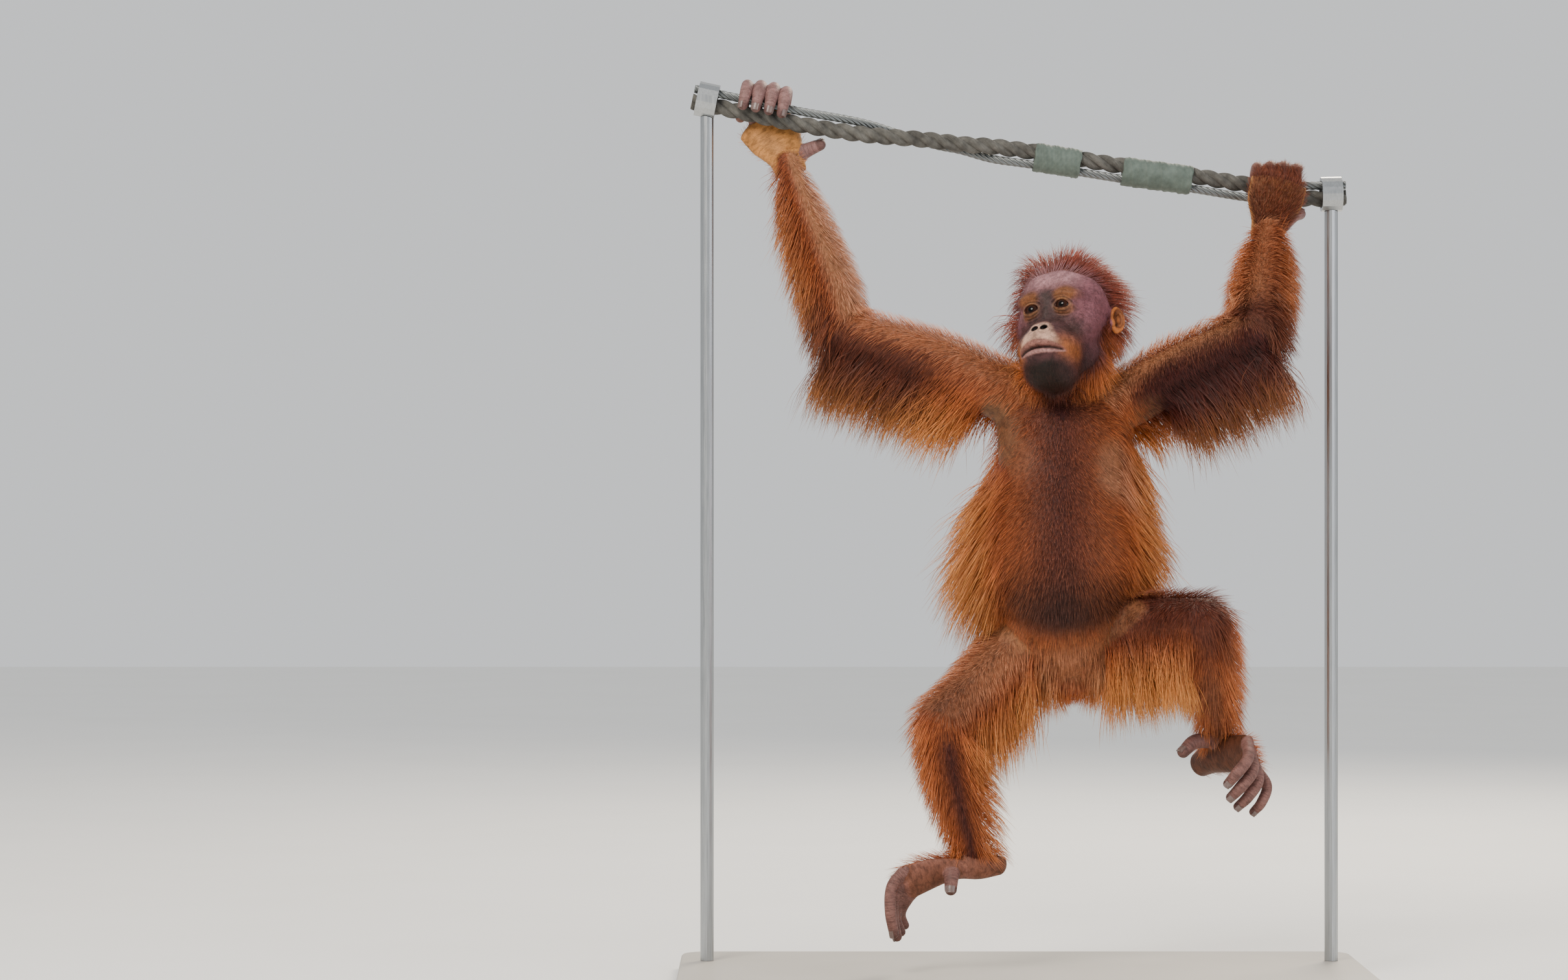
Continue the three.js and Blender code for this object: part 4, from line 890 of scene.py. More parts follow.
def coat_share(points, normals, which, share):
    """How thickly hair grows, from 0 on bare skin to 1."""
    thick = np.ones(len(points))
    name = np.array([form.name for form in forms])[which]
    on = {k: np.char.startswith(name, k) for k in ("head", "finger", "thumb", "toe", "neck")}
    thick[on["head"]] = (1 - face_share(points))[on["head"]]
    p = to_head(points)
    throat = on["neck"] & (p[:, 1] < -20) & (p[:, 2] < -70)
    thick[throat] *= 0.5
    by_ear = oval(folded(p), EAR + [0, -6, 0], (14, 15, 19))
    thick = thick * ramp(by_ear, 0.85, 1.05)
    for label, side, back in (("palm_right", -1, 1), ("palm_left", 1, -1)):
        here = name == label
        dorsal = normals[:, 1] * back
        thick[here] = (ramp(dorsal, -0.15, 0.5) * (1 - 0.3 * share))[here]
    for label, top in (("foot_right", (-0.45, 0.35, 1.0)), ("foot_left", (1.0, 0.5, 0.15))):
        here = name == label
        dorsal = normals @ unit(np.array(top))
        thick[here] = ramp(dorsal, -0.1, 0.5)[here]
    for k in ("finger", "thumb", "toe"):
        thick[on[k]] = 0
    knuckles = on["finger"] & (points[:, 0] > 0)
    thick[knuckles] = ramp(0.62 - share, 0, 0.25)[knuckles]
    thick[on["finger"] & (points[:, 0] < 0) & (share < 0.25)] = 0.3
    for pit in ARMPITS:
        thick *= 0.1 + 0.9 * ramp(oval(points, pit, (25, 60, 40)), 0.7, 1.35)
    for breast in BREASTS:
        thick *= 0.45 + 0.55 * ramp(oval(points, breast, (24, 50, 30)), 0.5, 1.3)
    for start, end in GROIN_CREASES:
        start, end = np.array(start, float), np.array(end, float)
        t = np.clip((points - start) @ (end - start) / ((end - start) ** 2).sum(), 0, 1)
        gap = points - (start + (end - start) * t[:, None])
        thick *= 0.45 + 0.55 * ramp(np.hypot(gap[:, 0], gap[:, 2]), 5, 17)
    return thick


# %% Coat markings, painted sheen and painted shade, shared by the skin and the coat
def maroon_and_shade_share(points, normals, which, share):
    """Where the coat turns from rust to dark maroon: maroon on the chest, forearms, shins and knees, and
    painted shade under the upper arms and the chin.
    """
    name = np.array([form.name for form in forms])[which]
    dark = np.zeros(len(points))
    front = ramp(-normals[:, 1], 0.1, 0.75)
    x, y, z = points.T
    left = x > MIDDLE_X
    chest = front * bump_at(x - 38, 44) * ramp(z + 5 * wavy(points, 60.0), 404, 430) * 0.85
    here = np.char.startswith(name, "trunk") | np.char.startswith(name, "neck")
    dark = np.where(here, chest, dark)
    p = to_head(points)
    # under the chin: a dark throat, partly painted shade
    throat = bump_at(p[:, 0] + 8, 29) * ramp(-p[:, 1], -22, 10) * ramp(-p[:, 2], 58, 78)
    throat = throat * ramp(p[:, 2], -190, -120)
    dark = np.maximum(dark, throat)
    # painted shade: the upper arms darken on the side that faces down and forward, under the arm
    low = normals @ unit(DOWN * 0.75 + FRONT * 0.65)
    arm = ramp(low, 0.1, 0.8) * ramp(share, 0.2, 0.55) * 0.85
    left_arm = ramp(low + 0.15 * wavy(points, 40.0), -0.4, 0.75) * ramp(share, 0.05, 0.35)
    arm = np.where(left, left_arm, arm)
    dark = np.where(np.char.startswith(name, "upper"), arm, dark)
    out = normals @ LEFT * side_of(points)
    fore = ramp(out, -0.2, 0.7) * ramp(0.5 - share, 0, 0.4) * 0.8
    fore = np.maximum(fore, 0.25 * ramp(out, 0, 0.6))
    left_elbow = 0.8 * ramp(0.3 - share + 0.04 * wavy(points, 30.0), 0, 0.26)
    fore = np.where(left, np.maximum(fore, left_elbow), fore)
    dark = np.where(np.char.startswith(name, "forearm"), fore, dark)
    shin = bump_at(normals[:, 0] + 0.05 * side_of(points), 0.45) * front * ramp(share, 0.0, 0.2)
    dark = np.where(np.char.startswith(name, "shin"), shin * np.where(left, 0.45, 0.9), dark)
    left_knee = ramp(-normals[:, 1] + 0.5 * normals[:, 2], 0, 0.7) * ramp(0.4 - share, 0, 0.35)
    dark = np.maximum(dark, (name == "shin_left") * left_knee * 0.75)
    knee = front * ramp(share, 0.6, 0.95) * 0.3 + 0.2 * front * ramp(normals[:, 2], 0, 0.6)
    left_thigh = ramp(-normals[:, 1] + normals[:, 2] + 0.15 * wavy(points, 40.0), -0.3, 0.9) * 0.8
    knee = np.where(left, left_thigh, knee)
    dark = np.where(np.char.startswith(name, "thigh"), knee, dark)
    dark = np.where((name == "palm_left") | (kinds("finger")[which] & (x > 0)), 0.8, dark)
    return np.clip(dark, 0, 1)


def sheen_and_tan_share(points, normals, which, share):
    """Painted sheen where thin hair over tan skin faces the light: inner forearm, upper arm's top, thigh's
    front; and tan patches on the chest and groin.
    """
    name = np.array([form.name for form in forms])[which]
    ways = {
        "forearm_right": ((0.8, -0.5, 0.2), 0.85), "upper_arm_left": ((-0.3, -0.4, 0.85), 0.7),
        "upper_arm_right": ((0.1, -0.5, 0.85), 0.35), "thigh_right": ((-0.2, -0.8, 0.5), 0.55),
        "shin_left": ((-0.2, -0.9, 0.2), 0.6), "forearm_left": ((-0.3, -0.9, 0.1), 0.45),
    }
    pale = np.zeros(len(points))
    # painted sheen: each listed limb is paler on the side that faces the given way, where the light falls
    for label, (way, most) in ways.items():
        pale = np.where(name == label, ramp(normals @ unit(np.array(way)), 0.25, 0.85) * most, pale)
    pale = np.where(name == "shin_left", pale * ramp(share, 0.15, 0.5), pale)
    trunk = np.char.startswith(name, "trunk") * ramp(-normals[:, 1], 0.0, 0.5)
    for place, radii, most in (((108, -60, 600), (26, 60, 34), 0.75), ((57, -30, 378), (50, 60, 26), 0.5)):
        pale = np.maximum(pale, trunk * most * ramp(1.4 - oval(points, place, radii), 0, 0.8))
    return pale


def belly_underside_shade(points, normals, which):
    """Painted shade on the belly's underside, grey-brown, with a round lower edge."""
    round_edge = points[:, 2] + 4 * wavy(points, 40.0) - 0.006 * (points[:, 0] - 45) ** 2
    low = ramp(505 - points[:, 2], 0, 70) * ramp(round_edge, 396, 424)
    return kinds("trunk")[which] * ramp(-normals[:, 1], 0.0, 0.6) * low


def blend_colours(base, layers):
    """Coats of colour, laid on one after the other, each as thickly as its share says."""
    colour = np.repeat(np.array(linear(base)[:3])[None], len(layers[0][1]), 0)
    for code, share in layers:
        colour += (np.array(linear(code)[:3]) - colour) * np.clip(share, 0, 1)[:, None]
    return colour


def skin_colours(points, normals, which, share, thick, dark):
    m = folded(to_head(points))
    x, y, z = m.T
    name = np.array([form.name for form in forms])[which]
    face = (np.char.startswith(name, "head") & (thick < 0.9)) * 1.0
    front = ramp(-y, 30, 50)
    patch = wavy(points, 16.0) * 2.0
    brow = ramp(1.3 - np.hypot((x - 22.5) / 15, (z - 0.5) / 10.5) + patch * 0.06, 0, 0.7)
    brow = brow * ramp(z + 17, 0, 6)
    bag = ramp(1.25 - np.hypot((x - 21.5) / 12, (z + 17) / 8.0) + patch * 0.06, 0, 0.6)
    eye_ring = np.maximum(brow, bag * 0.7) * ramp(x, 5, 13) * ramp(-y, 18, 34)
    rim = bump_at(np.hypot((x - EYE[0]) * 0.86, (z + 12.3) * 1.3) - 9.0, 1.4) * front
    # painted shade in the grooves of the folds round the eye
    groove_shade = eye_folds(m) * front
    bridge = bump_at(x, 13) * ramp(z, -46, -24) * ramp(18 - z, 0, 16) * front
    under_eye = np.maximum(bump_at(np.hypot(x - 15, z + 31), 13),
                           bump_at(np.hypot((x - 30) * 0.8, z + 42), 14))
    under_eye = under_eye * front
    muzzle_half = np.interp(z, [-72, -60, -46, -36], [29, 26, 18, 10]) + patch
    muzzle = ramp(muzzle_half - x, -1, 8) * ramp(-z, 34, 41) * ramp(z - lip_line(x), 0, 4) * front
    corner = bump_at(np.hypot(x - 32, (z + 70) * 0.7), 10) * front
    line = lip_line(x)
    off = z - line
    in_mouth = ramp(30 - x, 0, 4) * ramp(-y, 44, 50)
    round_off = np.clip(1 - (x / 30) ** 2, 0, 1)
    upper_lip = ramp(1.5 + 8.5 * round_off - off, -1.2, 2.2) * ramp(off, -0.6, 0.4) * in_mouth
    lower = ramp(1.0 + 6.2 * round_off + off, -0.8, 1.6) * ramp(-off, -0.4, 0.6) * in_mouth
    seam = bump_at(off, 1.3 + 0.7 * round_off) * ramp(28 - x, 0, 3) * ramp(-y, 44, 50)
    chin = ramp(-z + patch, 73, 90) * ramp(46 - x + patch, 0, 36)
    low = ramp(-z, 24, 78) * (1 - 0.4 * front)
    side_tone = ramp(x, 24, 44)
    # painted shade inside the nostril holes
    nostril_shade = ramp(1.35 - oval(m, (5.6, -76.0, -44.5), (4.2, 9, 3.4)), 0, 0.3)
    # the upper face: pinker forehead skin, partly painted highlight where it faces up to the light
    above = ramp(z, 0, 24)
    ear = ears(points) * 1.0
    e = (m - EAR) @ turn_matrix(2, -32)
    # painted shade in the ear's hollow, less dark again on the ridge inside it
    bowl = ramp(1.15 - np.hypot((e[:, 1] - 0.2) / 6.4, (e[:, 2] - 2) / 12), 0, 0.3) * ramp(e[:, 0], -1.5, 1)
    inner_ridge = bump_at(np.hypot((e[:, 1] - 0.8) * 1.9, e[:, 2] - 1.5) - 8.0, 1.6) * ramp(e[:, 1], -2, 2)
    palm = np.char.startswith(name, "palm") * 1.0
    finger = (np.char.startswith(name, "finger") | np.char.startswith(name, "thumb")) * 1.0
    foot = np.char.startswith(name, "foot") * 1.0
    toe = np.char.startswith(name, "toe") * 1.0
    furry = thick * (1 - face)
    pale = sheen_and_tan_share(points, normals, which, share)
    pit = np.minimum(*[oval(points, at, (28, 60, 42)) for at in ARMPITS])
    neck = kinds("neck")[which]
    belly = np.char.startswith(name, "trunk") * ramp(-normals[:, 1], 0.0, 0.6)
    return blend_colours("#86603f", [
        ("#7a4126", furry),
        ("#7b472c", belly * (1 - dark)),
        # painted sheen on the lit sides of the limbs, and tan skin on the chest and groin
        ("#9a6d4d", pale * furry),
        # maroon marking, and painted shade under the upper arms and the chin
        ("#3f1e1c", np.maximum(furry, belly) * dark),
        # painted shade under the belly
        ("#2e1812", belly_underside_shade(points, normals, which) * 0.9),
        ("#5c3d28", ramp(1.4 - pit, 0, 0.5) * 0.8),
        # the throat: dark skin, partly painted shade under the chin
        ("#1c0f0d", neck * dark),
        ("#623e40", face),
        # pinker forehead, partly painted highlight on the upper face
        ("#a2777a", face * above * 0.9),
        ("#7c4e55", face * side_tone * 0.85),
        ("#2b1716", face * low * 0.92),
        ("#3a2a27", face * under_eye * 0.85),
        ("#372a27", face * bridge * 0.92),
        ("#73461f", face * eye_ring * 0.8),
        ("#8a6544", face * rim * 0.35),
        # painted shade in the folds round the eye
        ("#2a1a14", face * groove_shade * 0.6),
        ("#b08c78", face * muzzle),
        ("#94552a", face * corner * 0.85),
        ("#150d06", face * chin * 0.96),
        ("#7a4d45", face * upper_lip * 0.9),
        ("#9c726c", face * lower * 0.92),
        ("#1c100e", face * seam * 0.9),
        # painted shade in the nostrils
        ("#140c0a", face * nostril_shade),
        ("#9c5a2c", ear),
        # painted shade in the ear's hollow, less dark on its inner ridge
        ("#3f1d10", ear * bowl * 0.85),
        ("#8a5430", ear * bowl * inner_ridge * 0.7),
        ("#a8733f", palm * (1 - thick)),
        ("#80605c", finger * (1 - thick)),
        ("#6e4433", foot * (1 - thick)),
        ("#4c2b1c", foot * (1 - thick) * (points[:, 0] > MIDDLE_X) * 0.8),
        ("#94655a", foot * (1 - thick) * (points[:, 0] < MIDDLE_X) * ramp(-normals[:, 0], -0.3, 0.6)),
        ("#725049", toe),
        ("#4c3531", (toe + finger) * ramp(share, 0.9, 1.0) * 0.6),
    ])


# %% [markdown]
# ## The skin
# Under the coat the skin lies a few millimetres inside the solids, as real skin lies under hair.
# On the face, hands, feet and ears it is the solids' own surface. Its colour follows the places of
# the body. Fine pores and creases are bump: a grain of about a millimetre on the face, and ridges
# across the fingers, which are read along each finger's own length.

# %% Skin points, inset under the coat
COAT_DEPTH = 4.0  # mm from the solids' surface down to the skin, where the coat is full
normals = surface_normals(points, triangles)
which, share, ring, _ = body_map(points)
thick = coat_share(points, normals, which, share)
dark = maroon_and_shade_share(points, normals, which, share)
skin_tone = skin_colours(points, normals, which, share, thick, dark)
points = points - normals * (thick * COAT_DEPTH)[:, None]

# %% Skin material
# Living skin, dry and a little leathery: light goes a few millimetres in and comes back red, and
# the shine is soft and broken. Blotches are about 11 mm wide and pores a little over 1 mm, which
# is coarser than real pores, so that they show. The creases are told in mm along each digit.
skin_material, tree = new_material("skin_of_an_ape")
tone = add(tree, "Attribute", attribute_name="skin_tone")
place = add(tree, "TexCoord")
grain_way = add(tree, "Attribute", attribute_name="grain_way")
blotches = add(tree, "TexNoise", {"Vector": place.outputs["Object"], "Scale": marks(11.11), "Detail": 5.0,
                                  "Roughness": 0.6})
pores = add(tree, "TexNoise", {"Vector": place.outputs["Object"], "Scale": marks(1.18), "Detail": 2.0})
creases = add(tree, "TexNoise", {"Vector": grain_way.outputs["Vector"], "Scale": 0.62, "Detail": 3.0,
                                 "Distortion": 0.6})
darker = add(tree, "MapRange", {"Value": blotches.outputs["Fac"], 1: 0.3, 2: 0.7, 3: 0.72, 4: 1.22})
speckled = add(tree, "MapRange", {"Value": pores.outputs["Fac"], 1: 0.35, 2: 0.65, 3: 0.86, 4: 1.1})
both = add(tree, "Math", {0: darker.outputs[0], 1: speckled.outputs[0]}, operation="MULTIPLY")
lines = add(tree, "MapRange", {"Value": creases.outputs["Fac"], 1: 0.36, 2: 0.56, 3: 0.66, 4: 1.06})
both = add(tree, "Math", {0: both.outputs[0], 1: lines.outputs[0]}, operation="MULTIPLY")
final = add(tree, "VectorMath", {0: tone.outputs["Color"], "Scale": both.outputs[0]}, operation="SCALE")
relief = add(tree, "Math", {0: creases.outputs["Fac"], 1: 1.4}, operation="MULTIPLY")
relief = add(tree, "Math", {0: pores.outputs["Fac"], 1: 0.35, 2: relief.outputs[0]},
             operation="MULTIPLY_ADD")
bump = add(tree, "Bump", {"Height": relief.outputs[0], "Strength": 0.55, "Distance": 0.0009})
shader = add(tree, "BsdfPrincipled", {
    "Base Color": final.outputs[0], "Roughness": 0.55, "IOR": 1.4, "Specular IOR Level": 0.25,
    "Subsurface Weight": 0.08, "Subsurface Scale": 0.004, "Normal": bump.outputs[0]})
shader.inputs["Subsurface Radius"].default_value = (1.0, 0.35, 0.2)
show(tree, shader)

# %% Skin piece
skin = make_mesh("skin", points, triangles, skin_material)
point_values(skin.data, "skin_tone", "FLOAT_COLOR", np.c_[skin_tone, np.ones(len(points))])
form_length = np.array([getattr(form, "length", 150.0) for form in forms])
digit = kinds("finger", "toe", "thumb")[which]
pitch = np.where(digit, 1.0, 0.45)
girth_mm = ring * (np.where(digit, 1.2, 9.0) * pitch)[:, None]
grain_mm = np.c_[share * form_length[which] * pitch, girth_mm]
hand_or_foot = kinds("palm", "foot", "finger", "toe", "thumb")[which]
grain_mm = np.where(hand_or_foot[:, None], grain_mm, points * 0.35)
point_values(skin.data, "grain_way", "FLOAT_VECTOR", grain_mm + (which * 37.0)[:, None])
flesh = [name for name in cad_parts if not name.startswith(("cable", "stand", "eye"))]
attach(skin, "root")
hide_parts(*flesh)
print("skin", len(points), "points;", len(flesh), "solids replaced;", round(time.time() - began, 1), "s")

# %% [markdown]
# ## Eyes
# An orangutan's eye shows almost only its brown iris: the white is dark too. Each eye is a full ball
# that fills the opening of the lids. It is brown glass to look at, so it has a deep colour and a clear
# wet coat, and its rings of colour are measured in degrees from the line of sight.

# %% Eye material
# The ball of a living eye, wet with tears: a dull, dark ball under a thin clear coat that gives
# one small sharp light. The iris's streaks are about a millimetre wide.
eye_material, tree = new_material("wet_brown_eye")
angle = add(tree, "Attribute", attribute_name="angle_from_sight")
place = add(tree, "TexCoord").outputs["Object"]
streaks = add(tree, "TexNoise", {"Vector": place, "Scale": marks(1.11), "Detail": 3.0})
from_sight = add(tree, "Math", {0: angle.outputs["Fac"], 1: 90.0}, operation="DIVIDE")
stops = add(tree, "ValToRGB", {"Fac": from_sight.outputs[0]})
set_stops(stops, [(0.0, "#020101"), (0.17, "#030202"), (0.2, "#24110a"), (0.38, "#2c150b"),
                  (0.46, "#100807"), (0.52, "#2a1a15"), (0.75, "#4d3830")])
dim = add(tree, "MapRange", {"Value": streaks.outputs["Fac"], 1: 0.3, 2: 0.7, 3: 0.8, 4: 1.2})
final = add(tree, "VectorMath", {0: stops.outputs["Color"], "Scale": dim.outputs[0]}, operation="SCALE")
show(tree, add(tree, "BsdfPrincipled", {
    "Base Color": final.outputs[0], "Roughness": 0.3, "IOR": 1.38, "Specular IOR Level": 0.0,
    "Coat Weight": 0.28, "Coat Roughness": 0.03}))


# %% Eyeballs
def eyeball(side):
    """A full ball that looks along the animal's gaze; side is 1 on its left and -1 on its right."""
    sight = unit(np.array([side * -0.02 + 0.10, -1.0, -0.02]))
    across = unit(np.cross(sight, UP))
    above = np.cross(across, sight)
    turns, bands = 64, 48
    angle = np.linspace(0, 180, bands)
    lean = np.radians(angle)[:, None]
    round_it = np.linspace(0, 2 * np.pi, turns, endpoint=False)[None]
    swell = 1 + 0.035 * np.exp(-(angle / 30) ** 4)
    radius = (EYE_RADIUS * np.minimum(swell, 1.05))[:, None]
    ball = (sight * (radius * np.cos(lean) + 0 * round_it)[..., None]
            + across * (radius * np.sin(lean) * np.cos(round_it))[..., None]
            + above * (radius * np.sin(lean) * np.sin(round_it))[..., None]).reshape(-1, 3)
    i, j = np.meshgrid(np.arange(bands - 1), np.arange(turns), indexing="ij")
    a, b = i * turns + j, i * turns + (j + 1) % turns
    quads = np.stack([a, b, b + turns, a + turns], -1).reshape(-1, 4)
    centre = EYE * [side, 1, 1] + [0, 0.1, 0]
    name = {1: "left", -1: "right"}[side]
    eye = make_mesh("eyeball_" + name, from_head(ball + centre), quads, eye_material)
    point_values(eye.data, "angle_from_sight", "FLOAT", np.repeat(angle, turns))
    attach(eye, "root")
    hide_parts("eye_" + name)


for side in (-1, 1):
    eyeball(side)

# %% [markdown]
# ## Nails
# Orangutans have flat, dark nails like ours. Each one is a thin curved plate that follows the
# back of its finger or toe, from the last joint to just past the tip.

# %% Nail material
# Horn, grown and worn smooth: brown-black with paler streaks 1.4 mm wide, and a low shine.
nail_material, tree = new_material("horn_nail")
place = add(tree, "TexCoord").outputs["Object"]
streaks = add(tree, "TexNoise", {"Vector": place, "Scale": marks(1.43), "Detail": 3.0})
tone = add(tree, "Mix", {6: linear("#3a2c28"), 7: linear("#7d6862"), 0: streaks.outputs["Fac"]},
           data_type="RGBA")
show(tree, add(tree, "BsdfPrincipled", {"Base Color": tone.outputs[2], "Roughness": 0.35, "IOR": 1.5}))


# %% Nail plates
def nail(form, heart):
    """A curved plate on the side of a digit's tip that faces away from its heart."""
    tip, last = form.centre[-1], form.along[-1]
    out = tip - heart
    out = unit(out - last * out.dot(last))
    side = np.cross(last, out)
    radius = form.size[-1].mean()
    rows, columns = 8, 9
    u = np.radians(np.linspace(-46, 46, columns))
    v, u = np.meshgrid(np.linspace(-0.75, 0.62, rows), u, indexing="ij")
    lift = radius * (1.04 - 0.2 * np.maximum(v, 0) ** 2)
    layers = []
    for thick in (0.0, -0.9):
        at = tip + last * (v * radius * 1.25)[..., None]
        height = lift + thick
        at = at + out * (height * np.cos(u))[..., None] + side * (height * np.sin(u))[..., None]
        layers.append(at.reshape(-1, 3))
    i, j = np.meshgrid(np.arange(rows - 1), np.arange(columns - 1), indexing="ij")
    a = (i * columns + j).ravel()
    top = np.stack([a, a + 1, a + columns + 1, a + columns], 1)
    edge = np.r_[np.arange(columns), np.arange(2 * columns - 1, rows * columns, columns),
                 np.arange(rows * columns - 2, (rows - 1) * columns - 1, -1),
                 np.arange((rows - 2) * columns, 0, -columns)]
    after = np.roll(edge, -1)
    count = rows * columns
    wall = np.stack([edge, after, after + count, edge + count], 1)
    return np.vstack(layers), np.vstack([top, top[:, ::-1] + count, wall])


nail_points, nail_faces, seen = [], [], 0
for form in digits:
    side = "left" if form.name.endswith("left") else "right"
    heart = np.array(GRIP[side][0]) if form.name.startswith("finger") else form.centre.mean(0)
    if form.name.startswith("thumb"):
        heart = form.centre[-1] - UP
    at, faces = nail(form, heart)
    nail_points.append(at)
    nail_faces.append(faces + seen)
    seen += len(at)
nails = make_mesh("nails", np.vstack(nail_points), np.vstack(nail_faces), nail_material)
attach(nails, "root")
print("nails", len(digits))

# %% [markdown]
# ## The coat
# An ape's coat is made of long, loose hairs that gather in locks, longest under the arms, on the flanks
# and behind the thighs, and short on the belly, the shins' fronts and the hands. Each tuft here
# is a thin solid blade of three sides that starts in the skin, follows the lie of the hair, droops
# under its weight and slides along the body instead of through it. Neighbouring tufts lean towards
# a shared guide, which gathers them into locks.

# %% Length and lift of the hair, in mm
FORM_HAIR = {  # short side, long side, back, lift
    "trunk": (14, 72, 62, 0.05), "neck": (16, 34, 42, 0.10), "upper": (17, 104, 56, 0.05),
    "forearm": (17, 54, 46, 0.06), "palm": (13, 16, 16, 0.12), "thigh": (19, 92, 60, 0.06),
    "shin": (15, 42, 42, 0.06), "foot": (14, 28, 26, 0.12), "finger": (9, 9, 9, 0.15),
    "head": (28, 30, 36, 0.40),
}


def hair_measures(points, normals, which, share):
    """For each root, the hair's length, and how far it stands off the skin, from 0 to 1."""
    name = np.array([form.name for form in forms])[which]
    length, lift = np.full(len(points), 20.0), np.full(len(points), 0.1)
    side = side_of(points)
    out, back, down, front = normals[:, 0] * side, normals[:, 1], -normals[:, 2], -normals[:, 1]
    for kind, (short, long, behind, lifted) in FORM_HAIR.items():
        here = np.char.startswith(name, kind)
        reach = short + (behind - short) * ramp(back, -0.25, 0.6)
        if kind == "trunk":
            flank = ramp(out + 0.5 * back + 0.06 * wavy(points, 45.0), 0.45, 1.05)
            flank = flank * ramp(points[:, 2], 420, 480)
            lower = ramp(600 - points[:, 2], 0, 100) * (side < 0)
            long_here = np.where(side < 0, 90, 86) * (1 + 0.2 * lower)
            reach = reach + (long_here - reach) * flank
            lifted = lifted + 0.5 * flank
            bottom = ramp(400 - points[:, 2], 0, 20)
            aside = ramp(np.abs(points[:, 0] - 57), 4, 34)
            reach = reach + (14 + 32 * aside - reach) * bottom
            lifted = lifted + 0.4 * bottom * aside * ramp(down, 0.1, 0.7)
        elif kind == "upper":
            under = ramp(down + 0.25 * back, 0.2, 0.75) * ramp(share, 0.0, 0.22)
            reach = reach + (long - reach) * under
            lifted = lifted + 0.54 * under
        elif kind == "forearm":
            outer = ramp(out, 0.2, 0.8)
            inner = ramp(-out, 0.3, 0.8) * np.where(side > 0, 1.0, 0.55)
            reach = reach + (long * np.where(side < 0, 1.1, 0.85) - reach) * outer
            reach = reach + (38 - reach) * inner
            lifted = lifted + 0.3 * np.maximum(outer, inner)
            reach = reach * (1 - 0.35 * ramp(share, 0.75, 1))
        elif kind == "thigh":
            under = ramp(down, 0.15, 0.7)
            reach = reach + (long - reach) * under
            lifted = lifted + 0.52 * under
        elif kind == "shin":
            sides = ramp(np.abs(normals[:, 0]), 0.35, 0.85)
            inner = (out < 0) & (side < 0)
            reach = reach + (np.where(inner, 56, long) - reach) * sides
            lifted = lifted + np.where(inner, 0.48, 0.3) * sides
            reach = reach * (1 - 0.35 * ramp(share, 0.75, 1))
        elif kind == "head":
            p = to_head(points)
            inside = hairline(points)
            nape = ramp(p[:, 1], 20, 60) * ramp(-p[:, 2], -10, 30)
            reach = np.interp(p[:, 2], [-60, -20, 20, 60], [40, 43, 37, 35]) + 8 * nape
            reach = reach * (0.3 + 0.7 * ramp(-inside, -5, 9))
            far = ramp(-p[:, 0], 0, 20)
            by_ear = oval(folded(p), EAR + [0, -14, 4], (20, 18, 26)) + far
            reach = reach * (0.4 + 0.6 * ramp(by_ear, 0.8, 1.4))
            lifted = np.interp(p[:, 2], [-60, -20, 20, 60], [0.3, 0.5, 0.45, 0.4])
            edge = ramp(inside, -34, -8) * ramp(30 - p[:, 2], 0, 30) * ramp(p[:, 2], -80, -50)
            reach = reach + (8 + 6 * far) * edge * ramp(by_ear, 0.8, 1.2)
            lifted = lifted + (0.16 + 0.12 * far) * edge
            reach = reach + 6 * far * ramp(inside, -60, -20)
            lifted = lifted + 0.2 * far * ramp(inside, -60, -10)
            lifted = np.where(inside > 0, 0.1, lifted)
        length = np.where(here, reach, length)
        lift = np.where(here, lifted, lift)
    return length, lift


# %% Reading the grid between its points
def grid_distance(points):
    spot = np.clip((points - grid_low) / STEP, 0, np.array(grid_shape) - 1.001)
    k = spot.astype(int)
    f = spot - k
    value = 0
    for i in (0, 1):
        for j in (0, 1):
            for l in (0, 1):
                weight = np.abs(1 - i - f[:, 0]) * np.abs(1 - j - f[:, 1]) * np.abs(1 - l - f[:, 2])
                value = value + weight * field[k[:, 0] + i, k[:, 1] + j, k[:, 2] + l]
    return value


def grid_slope(points):
    return unit(sum(c * grid_distance(points + c * 2.0)[:, None] for c in FOUR_WAYS))


# %% Growing hair
rng = np.random.default_rng(11)


def scatter(count, weight):
    """Random places on the skin, as many as the area and the weight ask."""
    a, b, c = (points[triangles[:, i]] for i in range(3))
    area = np.linalg.norm(np.cross(b - a, c - a), axis=1) / 2
    chance = area * weight[triangles].mean(1)
    pick = np.searchsorted(np.cumsum(chance) / chance.sum(), (np.arange(count) + rng.random(count)) / count)
    pick = np.minimum(pick, len(triangles) - 1)
    u, v = rng.random(count), rng.random(count)
    over = u + v > 1
    u[over], v[over] = 1 - u[over], 1 - v[over]
    w = np.stack([1 - u - v, u, v], 1)
    place = sum(points[triangles[pick, i]] * w[:, i:i + 1] for i in range(3))
    turned = unit(sum(skin_normals[triangles[pick, i]] * w[:, i:i + 1] for i in range(3)))
    return place, turned, pick


def grow(root, normal, way, length, steps, droop, wave):
    """Points of each hair from root to tip, kept outside the body."""
    at = root - normal * 0.8
    line = [at]
    way = unit(way)
    phase = rng.random(len(root))[:, None] * 6.28
    side = unit(np.cross(way, normal))
    for i in range(steps):
        s = (i + 1) / steps
        way = unit(way + DOWN * (droop * s * 1.2)[:, None] + side * np.sin(phase + 4.2 * s) * wave[:, None])
        at = at + way * (length / steps)[:, None]
        depth = grid_distance(at)
        clear = 1.0 + 3.2 * s
        push = np.clip(clear - depth, 0, 12) * (depth < clear)
        if push.any():
            low = np.flatnonzero(push > 0.01)
            at[low] += grid_slope(at[low]) * push[low, None]
            way[low] = unit(at[low] - line[-1][low])
        line.append(at)
    return np.stack(line, 1)


